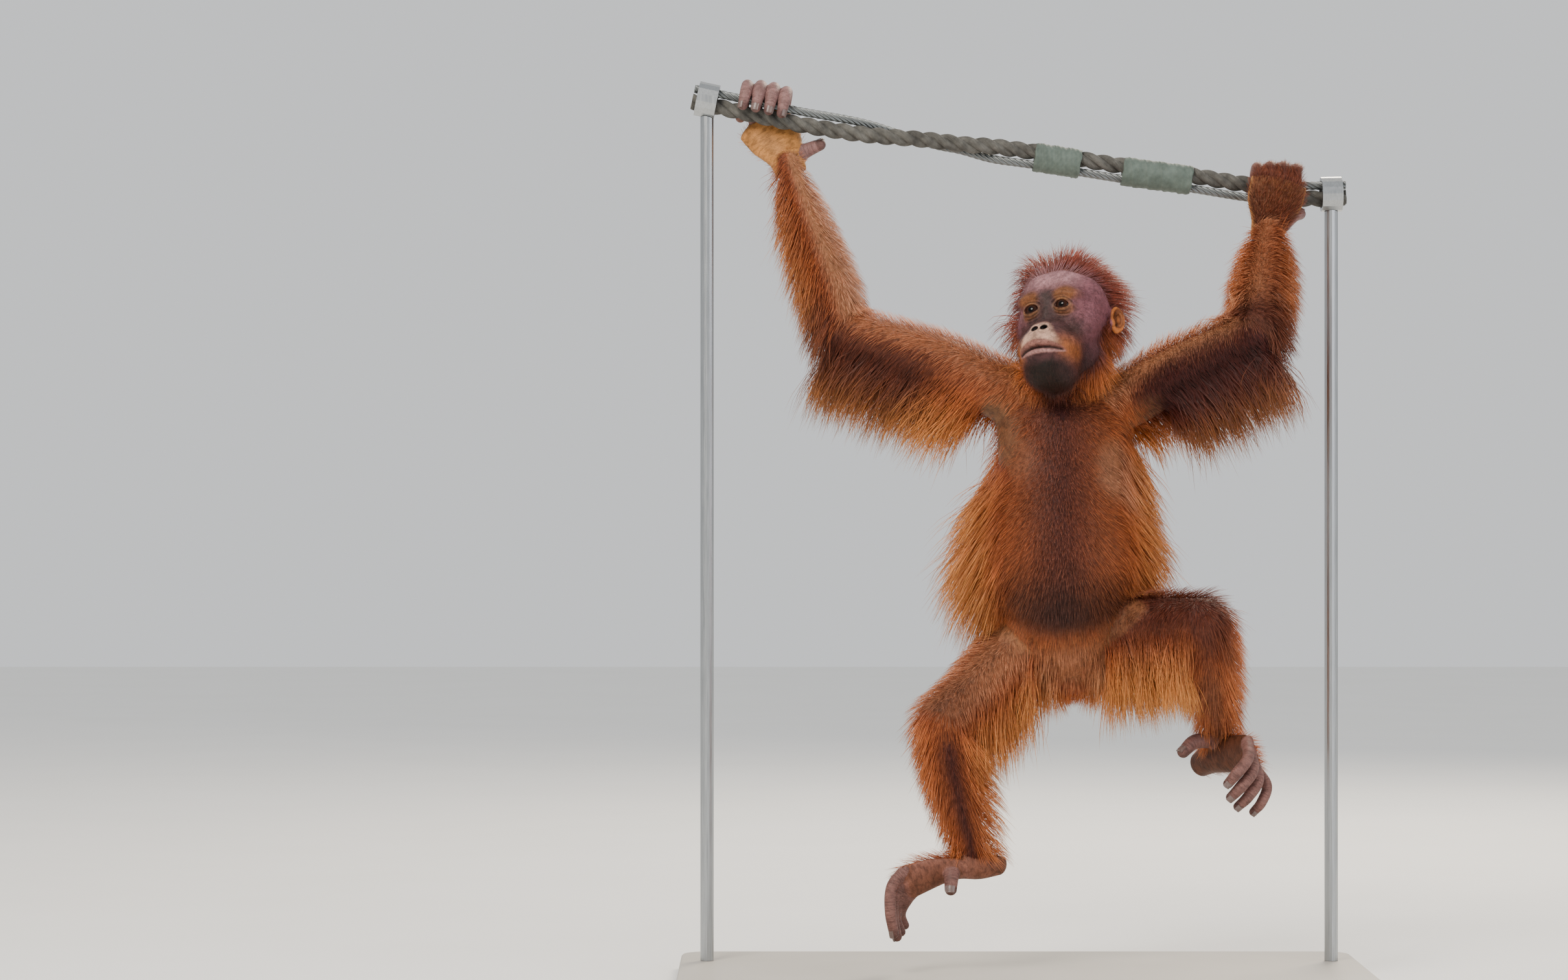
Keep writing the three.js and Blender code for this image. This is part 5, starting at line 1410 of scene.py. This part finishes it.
def face_down(points, which):
    """How thickly the short hair of the face grows: none on the lids, nose, muzzle and lips."""
    x, y, z = folded(to_head(points)).T
    on_head = kinds("head")[which] & ~ears(points)
    away = ramp(np.hypot((x - EYE[0]) / 14, (z + 12) / 11), 1.0, 1.5)
    muzzle_half = np.interp(z, [-100, -84, -76, -58, -44, -30, 10, 14], [0, 6, 30, 28, 20, 12, 8, 0])
    bald = ramp(muzzle_half + 4 - x, 0, 6) * ramp(-y, 20, 40)
    return on_head * away * (1 - bald)


# %% How thickly the hair grows
skin_normals = surface_normals(points, triangles)
thick_here = np.where(ears(points), 0, np.maximum(thick, 0.9 * face_down(points, which)))
left_hand = kinds("palm", "finger")[which] & (points[:, 0] > 0)
fringe = np.clip(-skin_normals[:, 2] + 0.3 * skin_normals[:, 1], 0, 1) * kinds("upper", "thigh")[which]
far_cheek = kinds("head")[which] & (to_head(points)[:, 0] < -20)
crowded = np.select([left_hand, far_cheek, kinds("head")[which]], [3.0, 2.0, 1.5], 1.0 + 0.7 * fringe)

# %% Roots and guides
TUFTS = 110000
LONGEST_FACE_HAIR = 7.5
root, root_normal, root_face = scatter(TUFTS, thick_here * crowded)
root_form, root_share, root_ring, root_lie = body_map(root, lies=True)
root_thick = thick_here[triangles[root_face]].mean(1)
root_maroon_and_shade = maroon_and_shade_share(root, root_normal, root_form, root_share)
root_sheen_and_tan = sheen_and_tan_share(root, root_normal, root_form, root_share)
root_belly_shade = belly_underside_shade(root, root_normal, root_form)
length, lift = hair_measures(root, root_normal, root_form, root_share)
on_face = kinds("head")[root_form] & (hairline(root) > 3)
length = np.where(on_face, np.minimum(length, LONGEST_FACE_HAIR), length)
spread = np.where(length > 50, rng.uniform(0.48, 1.18, TUFTS), rng.uniform(0.7, 1.15, TUFTS))
length = length * spread * (0.35 + 0.65 * np.minimum(root_thick, 1))
flat_lie = unit(root_lie - root_normal * rows_dot(root_lie, root_normal)[:, None])
stray = rng.random(TUFTS) < 0.05
lift = lift + rng.normal(0, 0.035, TUFTS) + stray * rng.uniform(0.05, 0.22, TUFTS)
way = flat_lie + root_normal * (np.clip(lift, 0.03, 0.9) / (1.02 - np.clip(lift, 0, 0.9)))[:, None]
swirl = np.stack([wavy(root + shift, 55.0) for shift in (0, 90, 180)], 1)
on_crown = (kinds("head")[root_form] & (length > 10))[:, None]
loose = np.where(on_crown, 0.1, np.interp(length, [20, 70], [0.055, 0.12])[:, None])
way = way + rng.normal(0, 1, (TUFTS, 3)) * loose + swirl * np.where(on_crown, 0.3, 0.1)
droop = np.interp(length, [10, 30, 80], [0.02, 0.12, 0.22])
hangs = kinds("head")[root_form] & (to_head(root)[:, 0] < -20) & (length > 10)
droop = np.where(hangs, 0.34, droop)
GUIDES = TUFTS // 20
guide = rng.choice(TUFTS, GUIDES, replace=False)
GUIDE_STEPS = 10
guide_line = grow(root[guide], root_normal[guide], way[guide], length[guide] * 1.1, GUIDE_STEPS,
                  droop[guide], np.full(GUIDES, 0.10))
print("roots", TUFTS, "guides", GUIDES, round(time.time() - began, 1), "s")


# %% Each tuft leans to the nearest guide
def nearest_rows(rows, others):
    """For each row, which of the others is nearest."""
    found = np.empty(len(rows), int)
    size = (others ** 2).sum(1)
    for start in range(0, len(rows), 6000):
        part = rows[start:start + 6000]
        found[start:start + 6000] = (size - 2 * part @ others.T).argmin(1)
    return found


key = np.c_[root, root_normal * 16].astype(np.float32)
my_guide = nearest_rows(key, key[guide])
pull = rng.uniform(0.05, 0.7, TUFTS) * (0.2 + 0.8 * ramp(length, 24, 60)) * ~stray
tilt = rng.uniform(-1.1, 1.1, TUFTS)
guide_tone = rng.normal(1.0, 0.10, GUIDES)
tuft_tone = guide_tone[my_guide] * rng.normal(1.0, 0.13, TUFTS)


def gathered(pick, steps):
    """The points of each picked tuft from root to tip, pulled towards its guide."""
    own = grow(root[pick], root_normal[pick], way[pick], length[pick], steps, droop[pick],
               rng.uniform(0.03, 0.16, len(pick)) * np.interp(length[pick], [30, 80], [1, 2]))
    mine = my_guide[pick]
    reach = np.minimum(length[pick] / (length[guide[mine]] * 1.1), 1)
    for i in range(1, steps + 1):
        spot = reach * i / steps * GUIDE_STEPS
        k = np.minimum(spot.astype(int), GUIDE_STEPS - 1)
        f = (spot - k)[:, None]
        target = guide_line[mine, k] * (1 - f) + guide_line[mine, k + 1] * f
        own[:, i] += (target - own[:, i]) * (pull[pick] * (i / steps) ** 1.3)[:, None]
        depth = grid_distance(own[:, i])
        low = np.flatnonzero(depth < 0.8)
        own[low, i] += grid_slope(own[low, i]) * (0.8 - depth[low])[:, None]
    return own


# %% [markdown]
# ## Colour along a hair
# Each hair is darker and redder at its root and paler at its tip, and the long hairs that hang free
# end in a golden tone: the paler tips and the golden ends are painted glow, for light that comes
# through the hair. The dark bands of the chest, the arms and the shins come from the same shares as
# the skin's: maroon on the chest and shins, painted shade under the upper arms and the chin.

# %% Coat colours
COAT_TONES = {  # root, tip
    # the paler tips are partly painted glow, and the third pair on this row is all painted glow of light
    # through long hair
    "rust": ("#7a2e14", "#d67a3e"), "dark": ("#230a09", "#5f261c"), "backlit_gold": ("#8a4719", "#e2a052"),
    # the third pair on this row is painted sheen, for the sides of the limbs that face the light
    "crown": ("#5c2013", "#a4503a"), "belly": ("#431f18", "#8a5445"), "sheen_tan": ("#9c6040", "#eeb088"),
}


def coat_colours(pick, steps):
    """The colour of each picked tuft at each point from root to tip."""
    tones = {name: [np.array(linear(code)[:3]) for code in pair] for name, pair in COAT_TONES.items()}
    on_head, on_trunk = kinds("head")[root_form[pick]], kinds("trunk")[root_form[pick]]
    s = np.linspace(0, 1, steps + 1)[None, :, None]
    shade = {name: a + (b - a) * s ** 0.8 for name, (a, b) in tones.items()}
    beneath = (on_trunk & (root[pick, 2] < 395)) * 25
    # painted glow: long hairs, and those under the trunk, turn golden towards their tips
    backlit_gold = (ramp(length[pick] + beneath, 30, 75) * 0.75)[:, None, None] * s
    colour = shade["rust"] + (shade["backlit_gold"] - shade["rust"]) * backlit_gold
    crown = (on_head * ramp(to_head(root[pick])[:, 2], -45, 0))[:, None, None]
    colour = colour + (shade["crown"] - colour) * crown
    # maroon marking, and painted shade under the upper arms and the chin
    deep = root_maroon_and_shade[pick][:, None, None]
    darkest = np.where(on_trunk[:, None, None], shade["belly"], shade["dark"])
    # painted sheen: tan tones on the lit sides of the limbs, the same share as the skin's
    colour = colour + (shade["sheen_tan"] - colour) * root_sheen_and_tan[pick][:, None, None]
    # painted glow: the tips of long hairs keep their golden light over the darker bands
    tip_glow = 0.45 * s ** 3 * ramp(length[pick], 45, 80)[:, None, None]
    colour = colour + (darkest - colour) * deep * (1 - tip_glow)
    # painted shade under the belly: the coat darkens there
    colour = colour * (1 - 0.62 * root_belly_shade[pick])[:, None, None]
    downy = (on_head * ramp(hairline(root[pick]), -5, 2))[:, None, None]
    # painted glint: the face's short hairs are darker than the skin at the root and paler at the tip
    near_skin = skin_tone[triangles[root_face[pick]]].mean(1)[:, None] * (0.75 + 0.65 * s)
    colour = colour + (near_skin * 0.85 + shade["crown"] * 0.15 - colour) * downy
    return np.clip(colour * tuft_tone[pick][:, None, None], 0, 1)


# %% A place for each limb on the coat's map
def shelf_map():
    """A tile for each form: its length across, its girth up, laid on shelves inside the unit square."""
    wide = form_length / 1500.0
    tall = np.array([0.30 if form.name == "head" else form.size.mean() * 6.28 / 1500.0 for form in forms])
    order = np.argsort(-tall)
    low, x, y, shelf = np.zeros((len(forms), 2)), 0.01, 0.01, 0.0
    for n in order:
        if x + wide[n] > 0.98:
            x, y, shelf = 0.01, y + shelf + 0.012, 0.0
        low[n] = x, y
        x, shelf = x + wide[n] + 0.012, max(shelf, tall[n])
    scale = 0.98 / max(1.0, y + shelf)
    return low * scale, np.stack([wide, tall], 1) * scale


tile_low, tile_size = shelf_map()
print("map reaches", round(float((tile_low + tile_size).max()), 3))


def map_place(form_index, share, ring):
    """The place on the map of a share along a form and a direction round it."""
    turn = np.arctan2(ring[..., 1], ring[..., 0]) / (2 * math.pi) + 0.5
    return tile_low[form_index] + np.stack([np.clip(share, 0, 1), turn], -1) * tile_size[form_index]


# %% Coat material
# Coarse hair, clean and dry: each one shines a little along its length, which gives the coat its
# silky lights. A real hair is 0.1 mm thick, too fine to show, so each tuft stands for several, and
# the tone varies over marks of 4 mm as neighbouring hairs do.
coat_material, tree = new_material("orangutan_hair")
tone = add(tree, "Attribute", attribute_name="coat_tone")
place = add(tree, "TexCoord").outputs["Object"]
streaks = add(tree, "TexNoise", {"Vector": place, "Scale": marks(3.85), "Detail": 3.0})
vary = add(tree, "MapRange", {"Value": streaks.outputs["Fac"], 1: 0.3, 2: 0.7, 3: 0.8, 4: 1.2})
final = add(tree, "VectorMath", {0: tone.outputs["Color"], "Scale": vary.outputs[0]}, operation="SCALE")
shader = add(tree, "BsdfPrincipled", {"Base Color": final.outputs[0], "Roughness": 0.45, "IOR": 1.55,
                                      "Specular IOR Level": 0.35})
show(tree, shader)


# %% Tufts as solid blades
PATCH = 0.003  # how wide each tuft's own patch of the map is


def blades(pick, steps):
    """Corners, colours, the faces of one blade, and places on the map."""
    line = gathered(pick, steps)
    colour = coat_colours(pick, steps)
    step = np.diff(line, axis=1)
    ahead = unit(np.concatenate([step, step[:, -1:]], 1) + np.concatenate([step[:, :1], step], 1))
    normal = np.repeat(root_normal[pick][:, None], steps + 1, 1)
    side = unit(np.cross(ahead, normal))
    ridge = np.cross(side, ahead)
    c, s = np.cos(tilt[pick])[:, None, None], np.sin(tilt[pick])[:, None, None]
    side, ridge = side * c + ridge * s, ridge * c - side * s
    wide = np.interp(length[pick], [4, 10, 30, 80], [0.12, 0.22, 0.36, 0.62])
    wide = wide * rng.uniform(0.7, 1.3, len(pick))
    along = np.arange(steps) / steps
    shape = (0.75 + 0.6 * along) * (1 - along) ** 0.75
    half = (wide[:, None] * shape[None])[..., None]
    body_line, side, ridge = line[:, :-1], side[:, :-1], ridge[:, :-1]
    three = np.stack([body_line - side * half, body_line + ridge * half * 0.8, body_line + side * half], 2)
    corners = np.concatenate([three.reshape(len(pick), -1, 3), line[:, -1:]], 1)
    tones = np.concatenate([np.repeat(colour[:, :-1], 3, 1), colour[:, -1:]], 1)
    faces = []
    for i in range(steps - 1):
        for k in range(3):
            a, b = 3 * i + k, 3 * i + (k + 1) % 3
            faces += [(a, b, b + 3), (a, b + 3, a + 3)]
    last = 3 * (steps - 1)
    faces += [(last + k, last + (k + 1) % 3, 3 * steps) for k in range(3)]
    faces = np.array(faces)
    start = map_place(root_form[pick], root_share[pick], root_ring[pick])
    spot_along = np.r_[np.repeat(np.arange(steps) / steps, 3), 1.0]
    spot_side = np.r_[np.tile([0.0, 0.5, 1.0], steps), 0.5]
    spot = start[:, None] + PATCH * np.stack([spot_along, spot_side], 1)[None]
    return corners, tones, faces, spot


# %% Coat pieces
ARM = ("upper_arm", "forearm", "palm", "finger_little", "finger_ring", "finger_middle", "finger_index")
LEG = ("thigh", "shin", "foot")
REGIONS = {"head": ("head", "neck"), "trunk": ("trunk",)}
for label, members in (("arm", ARM), ("leg", LEG)):
    for side in SIDES:
        REGIONS[f"{label}_{side}"] = [f"{member}_{side}" for member in members]
steps_of = np.select([length > 62, length > 30, length > 8.5], [4, 3, 2], 1)
triangles_of = (steps_of - 1) * 6 + 3
MOST = 190000  # triangles in one piece
names = np.array([form.name for form in forms])[root_form]
total = 0
for region, members in REGIONS.items():
    here = np.flatnonzero(np.isin(names, members))
    here = here[np.argsort(-root[here, 2])]
    parts = max(1, math.ceil(triangles_of[here].sum() / MOST))
    so_far = np.cumsum(triangles_of[here])
    cuts = np.searchsorted(so_far, np.arange(1, parts) * so_far[-1] / parts)
    for number, some in enumerate(np.split(here, cuts), 1):
        at, tones, faces, spots, seen = [], [], [], [], 0
        for steps in (1, 2, 3, 4):
            pick = some[steps_of[some] == steps]
            if not len(pick):
                continue
            corners, colour, pattern, spot = blades(pick, steps)
            count = corners.shape[1]
            every = (seen + np.arange(len(pick)) * count)[:, None, None] + pattern[None]
            at.append(corners.reshape(-1, 3))
            tones.append(colour.reshape(-1, 3))
            faces.append(every.reshape(-1, 3))
            spots.append(spot.reshape(-1, 2))
            seen += len(pick) * count
        at, tones, faces, spots = np.vstack(at), np.vstack(tones), np.vstack(faces), np.vstack(spots)
        coat = make_mesh(f"coat_{region}_{number}", at, faces, coat_material)
        point_values(coat.data, "coat_tone", "FLOAT_COLOR", np.c_[tones, np.ones(len(tones))])
        layer = coat.data.uv_layers.new(name="OFBake")
        corner_points = np.zeros(len(coat.data.loops), np.int32)
        coat.data.loops.foreach_get("vertex_index", corner_points)
        layer.uv.foreach_set("vector", spots[corner_points].astype(np.float32).ravel())
        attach(coat, "root")
        total += len(faces)
        print(coat.name, len(some), "tufts", len(faces), "triangles")
print("coat", total, "triangles", round(time.time() - began, 1), "s")

# %% [markdown]
# ## The rope and the wire
# A thick rope of three twisted strands and a thin steel wire run side by side and change places on
# the way. Two sleeves of old tape hold them together. The strands' pitch and the wire's lay are real
# sizes, and every ring is a true section, so that the lobes cast their own shadows.

# %% The cable's line
CABLE = [(-385, 1036), (-346, 1027.7), (-303.5, 1018.6), (-253, 1008), (-159, 992.6), (-65.8, 978), (28.2, 965),
         (121.4, 950), (196.3, 939.8), (262, 929), (302.6, 924), (337, 921.5), (385, 922)]
ROPE_RADIUS, WIRE_RADIUS = 10.0, 5.0
cable_points = np.array([(x, 95.0, z) for x, z in CABLE])
fine = curve_through(cable_points, np.linspace(0, 1, 2000))
gone = np.r_[0, np.cumsum(np.linalg.norm(np.diff(fine, axis=0), axis=1))]
CABLE_LENGTH = gone[-1]
TURNS = [(0, 90), (0.2, 90), (0.4, -20), (0.5, -90), (0.84, -90), (0.93, -270), (1, -270)]


def cable_at(share):
    """The cable's middle, its way, up across it, and the way from the rope to the wire."""
    share = np.asarray(share, float)
    spot = np.interp(share * CABLE_LENGTH, gone, np.linspace(0, 1, 2000))
    middle = curve_through(cable_points, spot)
    ahead = curve_through(cable_points, np.minimum(spot + 1e-3, 1))
    along = unit(ahead - curve_through(cable_points, spot - 1e-3))
    up = np.stack([-along[:, 2], 0 * share, along[:, 0]], 1)
    stops = np.array(TURNS, float)
    k = np.clip(np.searchsorted(stops[:, 0], share, side="right") - 1, 0, len(stops) - 2)
    t = ramp(share, stops[k, 0], stops[k + 1, 0])
    turn = np.radians(stops[k, 1] + (stops[k + 1, 1] - stops[k, 1]) * t)
    away = BACK * np.cos(turn)[:, None] + up * np.sin(turn)[:, None]
    return middle, along, up, away


def loft(rings):
    """Faces between rings of points, with a flat end on each side."""
    count, sides = rings.shape[:2]
    i, j = np.meshgrid(np.arange(count - 1), np.arange(sides), indexing="ij")
    a, b = (i * sides + j).ravel(), (i * sides + (j + 1) % sides).ravel()
    walls = np.stack([a, b, b + sides, a + sides], 1)
    centre = count * sides
    j = np.arange(sides)
    first = np.stack([(j + 1) % sides, j, np.full(sides, centre)], 1)
    last_ring = (count - 1) * sides
    final = np.stack([last_ring + j, last_ring + (j + 1) % sides, np.full(sides, centre + 1)], 1)
    at = np.vstack([rings.reshape(-1, 3), rings[0].mean(0), rings[-1].mean(0)])
    halves = np.vstack([walls[:, [0, 1, 2]], walls[:, [0, 2, 3]], first, final])
    return at, halves


def strand_section(angle, strands, radius, deep):
    """How far a bundle of round strands reaches in each direction."""
    size = radius - deep
    pitch = 2 * math.pi / strands
    off = (angle + pitch / 2) % pitch - pitch / 2
    return deep * np.cos(off) + np.sqrt(np.maximum(size ** 2 - (deep * np.sin(off)) ** 2, 0))


# %% Rope and wire materials
# The rope is laid from plant fibre and has gone grey outdoors: rough, without any shine, with dirt
# in patches 18 mm wide and yarns that run with the lay.
rope_material, tree = new_material("weathered_fibre_rope")
place = add(tree, "TexCoord").outputs["Object"]
lay_way = add(tree, "Attribute", attribute_name="lay_way")
dirt = add(tree, "TexNoise", {"Vector": place, "Scale": marks(18.2), "Detail": 6.0, "Roughness": 0.65})
yarns = add(tree, "TexNoise", {"Vector": lay_way.outputs["Vector"], "Scale": 1.0, "Detail": 4.0,
                               "Roughness": 0.6})
tone = add(tree, "ValToRGB", {"Fac": dirt.outputs["Fac"]})
set_stops(tone, [(0.3, "#34322d"), (0.72, "#6f6d66")])
dim = add(tree, "MapRange", {"Value": yarns.outputs["Fac"], 1: 0.3, 2: 0.7, 3: 0.55, 4: 1.25})
final = add(tree, "VectorMath", {0: tone.outputs["Color"], "Scale": dim.outputs[0]}, operation="SCALE")
bump = add(tree, "Bump", {"Height": yarns.outputs["Fac"], "Strength": 0.9, "Distance": 0.0012})
show(tree, add(tree, "BsdfPrincipled", {
    "Base Color": final.outputs[0], "Roughness": 0.9, "Normal": bump.outputs[0]}))

# The wire is drawn steel with a coat of zinc that has weathered: a dull metal with grey bloom.
wire_material, tree = new_material("dull_galvanised_steel")
lay_way = add(tree, "Attribute", attribute_name="lay_way")
scale_mark = add(tree, "TexNoise", {"Vector": lay_way.outputs["Vector"], "Scale": 1.3, "Detail": 4.0})
tone = add(tree, "Mix", {6: linear("#4b4e4e"), 7: linear("#8f9392"), 0: scale_mark.outputs["Fac"]},
           data_type="RGBA")
rough = add(tree, "MapRange", {"Value": scale_mark.outputs["Fac"], 3: 0.35, 4: 0.6})
show(tree, add(tree, "BsdfPrincipled", {
    "Base Color": tone.outputs[2], "Metallic": 0.85, "Roughness": rough.outputs[0]}))


# %% Rope and wire pieces
def twisted(name, offset, radius, strands, deep, lay, steps, material):
    """A bundle of strands along the cable; deep is how far in each strand's middle lies, lay one turn."""
    share = np.linspace(0, 1, steps)
    middle, along, up, away = cable_at(share)
    centre = middle + away * offset
    angle = np.linspace(0, 2 * np.pi, 36, endpoint=False)[None]
    twist = (2 * np.pi * CABLE_LENGTH * share / lay)[:, None]
    reach = strand_section(angle - twist, strands, radius, deep)
    away_part, up_part = (reach * np.cos(angle))[..., None], (reach * np.sin(angle))[..., None]
    rings = centre[:, None] + (BACK * away_part + up[:, None] * up_part)
    piece = make_mesh(name, *loft(rings), material)
    run = (share * CABLE_LENGTH)[:, None] + 0 * angle
    lobe = np.round((angle - twist) / (2 * math.pi / strands))
    within = (angle - twist) - lobe * (2 * math.pi / strands)
    grain = np.stack([run * 0.12 + within * radius * 0.1, within * radius * 1.3, lobe % strands * 9.0], -1)
    grain = grain.reshape(-1, 3)
    point_values(piece.data, "lay_way", "FLOAT_VECTOR", np.vstack([grain, grain[:2]]))
    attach(piece, "root")
    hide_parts("cable_" + name)


twisted("rope", -WIRE_RADIUS, ROPE_RADIUS, 3, 4.8, 62, 700, rope_material)
twisted("wire", ROPE_RADIUS + 0.3, WIRE_RADIUS, 6, 3.4, 46, 900, wire_material)

# %% [markdown]
# ## The tape sleeves
# Old cloth tape is wound round the rope and the wire in two places. Each turn laps over the last,
# which leaves a small step, and the cloth has creased and split with the weather.

# %% Tape
# Woven cloth with a rubbery face, gone hard and faded: matt, stained in patches 14 mm wide. The
# weave's real threads are 0.5 mm apart and are drawn at about twice that, so that they show.
tape_material, tree = new_material("weathered_cloth_tape")
place = add(tree, "TexCoord").outputs["Object"]
stain = add(tree, "TexNoise", {"Vector": place, "Scale": marks(14.3), "Detail": 6.0, "Roughness": 0.7})
weave = add(tree, "TexNoise", {"Vector": place, "Scale": marks(1.11), "Detail": 2.0})
tone = add(tree, "ValToRGB", {"Fac": stain.outputs["Fac"]})
set_stops(tone, [(0.3, "#3f4a42"), (0.7, "#5b685f")])
bump = add(tree, "Bump", {"Height": weave.outputs["Fac"], "Strength": 0.5, "Distance": 0.0005})
show(tree, add(tree, "BsdfPrincipled", {
    "Base Color": tone.outputs[0], "Roughness": 0.7, "Normal": bump.outputs[0]}))


SLEEVE_RADIUS = 15.9


def tape(number, start, end, turns):
    """A sleeve wound round rope and wire, between two shares of the cable's length."""
    share = np.linspace(start, end, 80)
    middle, along, up, away = cable_at(share)
    angle = np.linspace(0, 2 * np.pi, 48, endpoint=False)[None]
    run = ((share - start) / (end - start))[:, None]
    winding = (run * turns - angle / (2 * np.pi)) % 1.0
    step = 0.9 * (1 - winding) * ramp(winding, 0, 0.06)
    crease = np.sin(angle * 7 + run * 23 + number) * np.sin(run * 40 + angle * 3) * 0.28
    crease = crease + 0.22 * np.sin(angle * 3 - run * 60)
    radius = SLEEVE_RADIUS + step + crease - 0.7 * np.exp(-np.minimum(run, 1 - run) / 0.012)
    squeeze = 1 - 0.05 * np.cos(2 * angle)
    centre = middle + away * 1.0
    edge = np.sin(angle * 5 + number) * 0.5 * ((run < 0.01) * -1.0 + (run > 0.99) * 1.0)
    rings = centre[:, None] + along[:, None] * edge[..., None] + radius[..., None] * squeeze[..., None] * (
        BACK * np.cos(angle)[..., None] + up[:, None] * np.sin(angle)[..., None])
    piece = make_mesh(f"tape_{number}", *loft(rings), tape_material)
    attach(piece, "root")
    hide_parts(f"cable_tape_{number}")


tape(1, 0.525, 0.595, 3.3)
tape(2, 0.66, 0.765, 4.6)

# %% [markdown]
# ## The display stand
# A plain base of painted board carries two steel rods. Each rod ends in a collar that clamps one end
# of the cable. The solids already have these shapes and sizes, so they stay, with their own finishes.

# %% Stand finishes
# The base is board, sprayed with satin paint: a fine orange peel of 2.4 mm, and a broad soft shine.
board_material, tree = new_material("satin_painted_board")
place = add(tree, "TexCoord").outputs["Object"]
peel = add(tree, "TexNoise", {"Vector": place, "Scale": marks(2.38), "Detail": 2.0})
cloud = add(tree, "TexNoise", {"Vector": place, "Scale": marks(143), "Detail": 4.0})
tone = add(tree, "Mix", {6: linear("#aba498"), 7: linear("#bbb5aa"), 0: cloud.outputs["Fac"]},
           data_type="RGBA")
bump = add(tree, "Bump", {"Height": peel.outputs["Fac"], "Strength": 0.25, "Distance": 0.0003})
show(tree, add(tree, "BsdfPrincipled", {
    "Base Color": tone.outputs[2], "Roughness": 0.45, "Normal": bump.outputs[0]}))

# The rods are stainless steel, brushed along their length: fine lines that stretch the lights.
# Real brush lines are 0.1 mm wide and are drawn at about a millimetre, so that they show.
steel_material, tree = new_material("brushed_stainless_steel")
place = add(tree, "TexCoord").outputs["Object"]
long_way = add(tree, "Mapping", {"Vector": place, "Scale": (marks(1.11), marks(1.11), marks(40))})
brushed = add(tree, "TexNoise", {"Vector": long_way.outputs[0], "Scale": 1.0, "Detail": 2.0})
tone = add(tree, "Mix", {6: linear("#8b8e90"), 7: linear("#b9bcbd"), 0: brushed.outputs["Fac"]},
           data_type="RGBA")
rough = add(tree, "MapRange", {"Value": brushed.outputs["Fac"], 3: 0.28, 4: 0.42})
show(tree, add(tree, "BsdfPrincipled", {
    "Base Color": tone.outputs[2], "Metallic": 1.0, "Roughness": rough.outputs[0]}))
for name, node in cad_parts.items():
    if name.startswith("stand"):
        node.data.materials.clear()
        node.data.materials.append(board_material if name == "stand_base" else steel_material)

# %% Sizes and the end
bpy.context.view_layer.update()
whole_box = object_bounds()
for label, box in (("solid box", solid_box), ("whole box", whole_box)):
    print(label, [[round(v, 3) for v in corner] for corner in box])
print(round(time.time() - began, 1), "s")
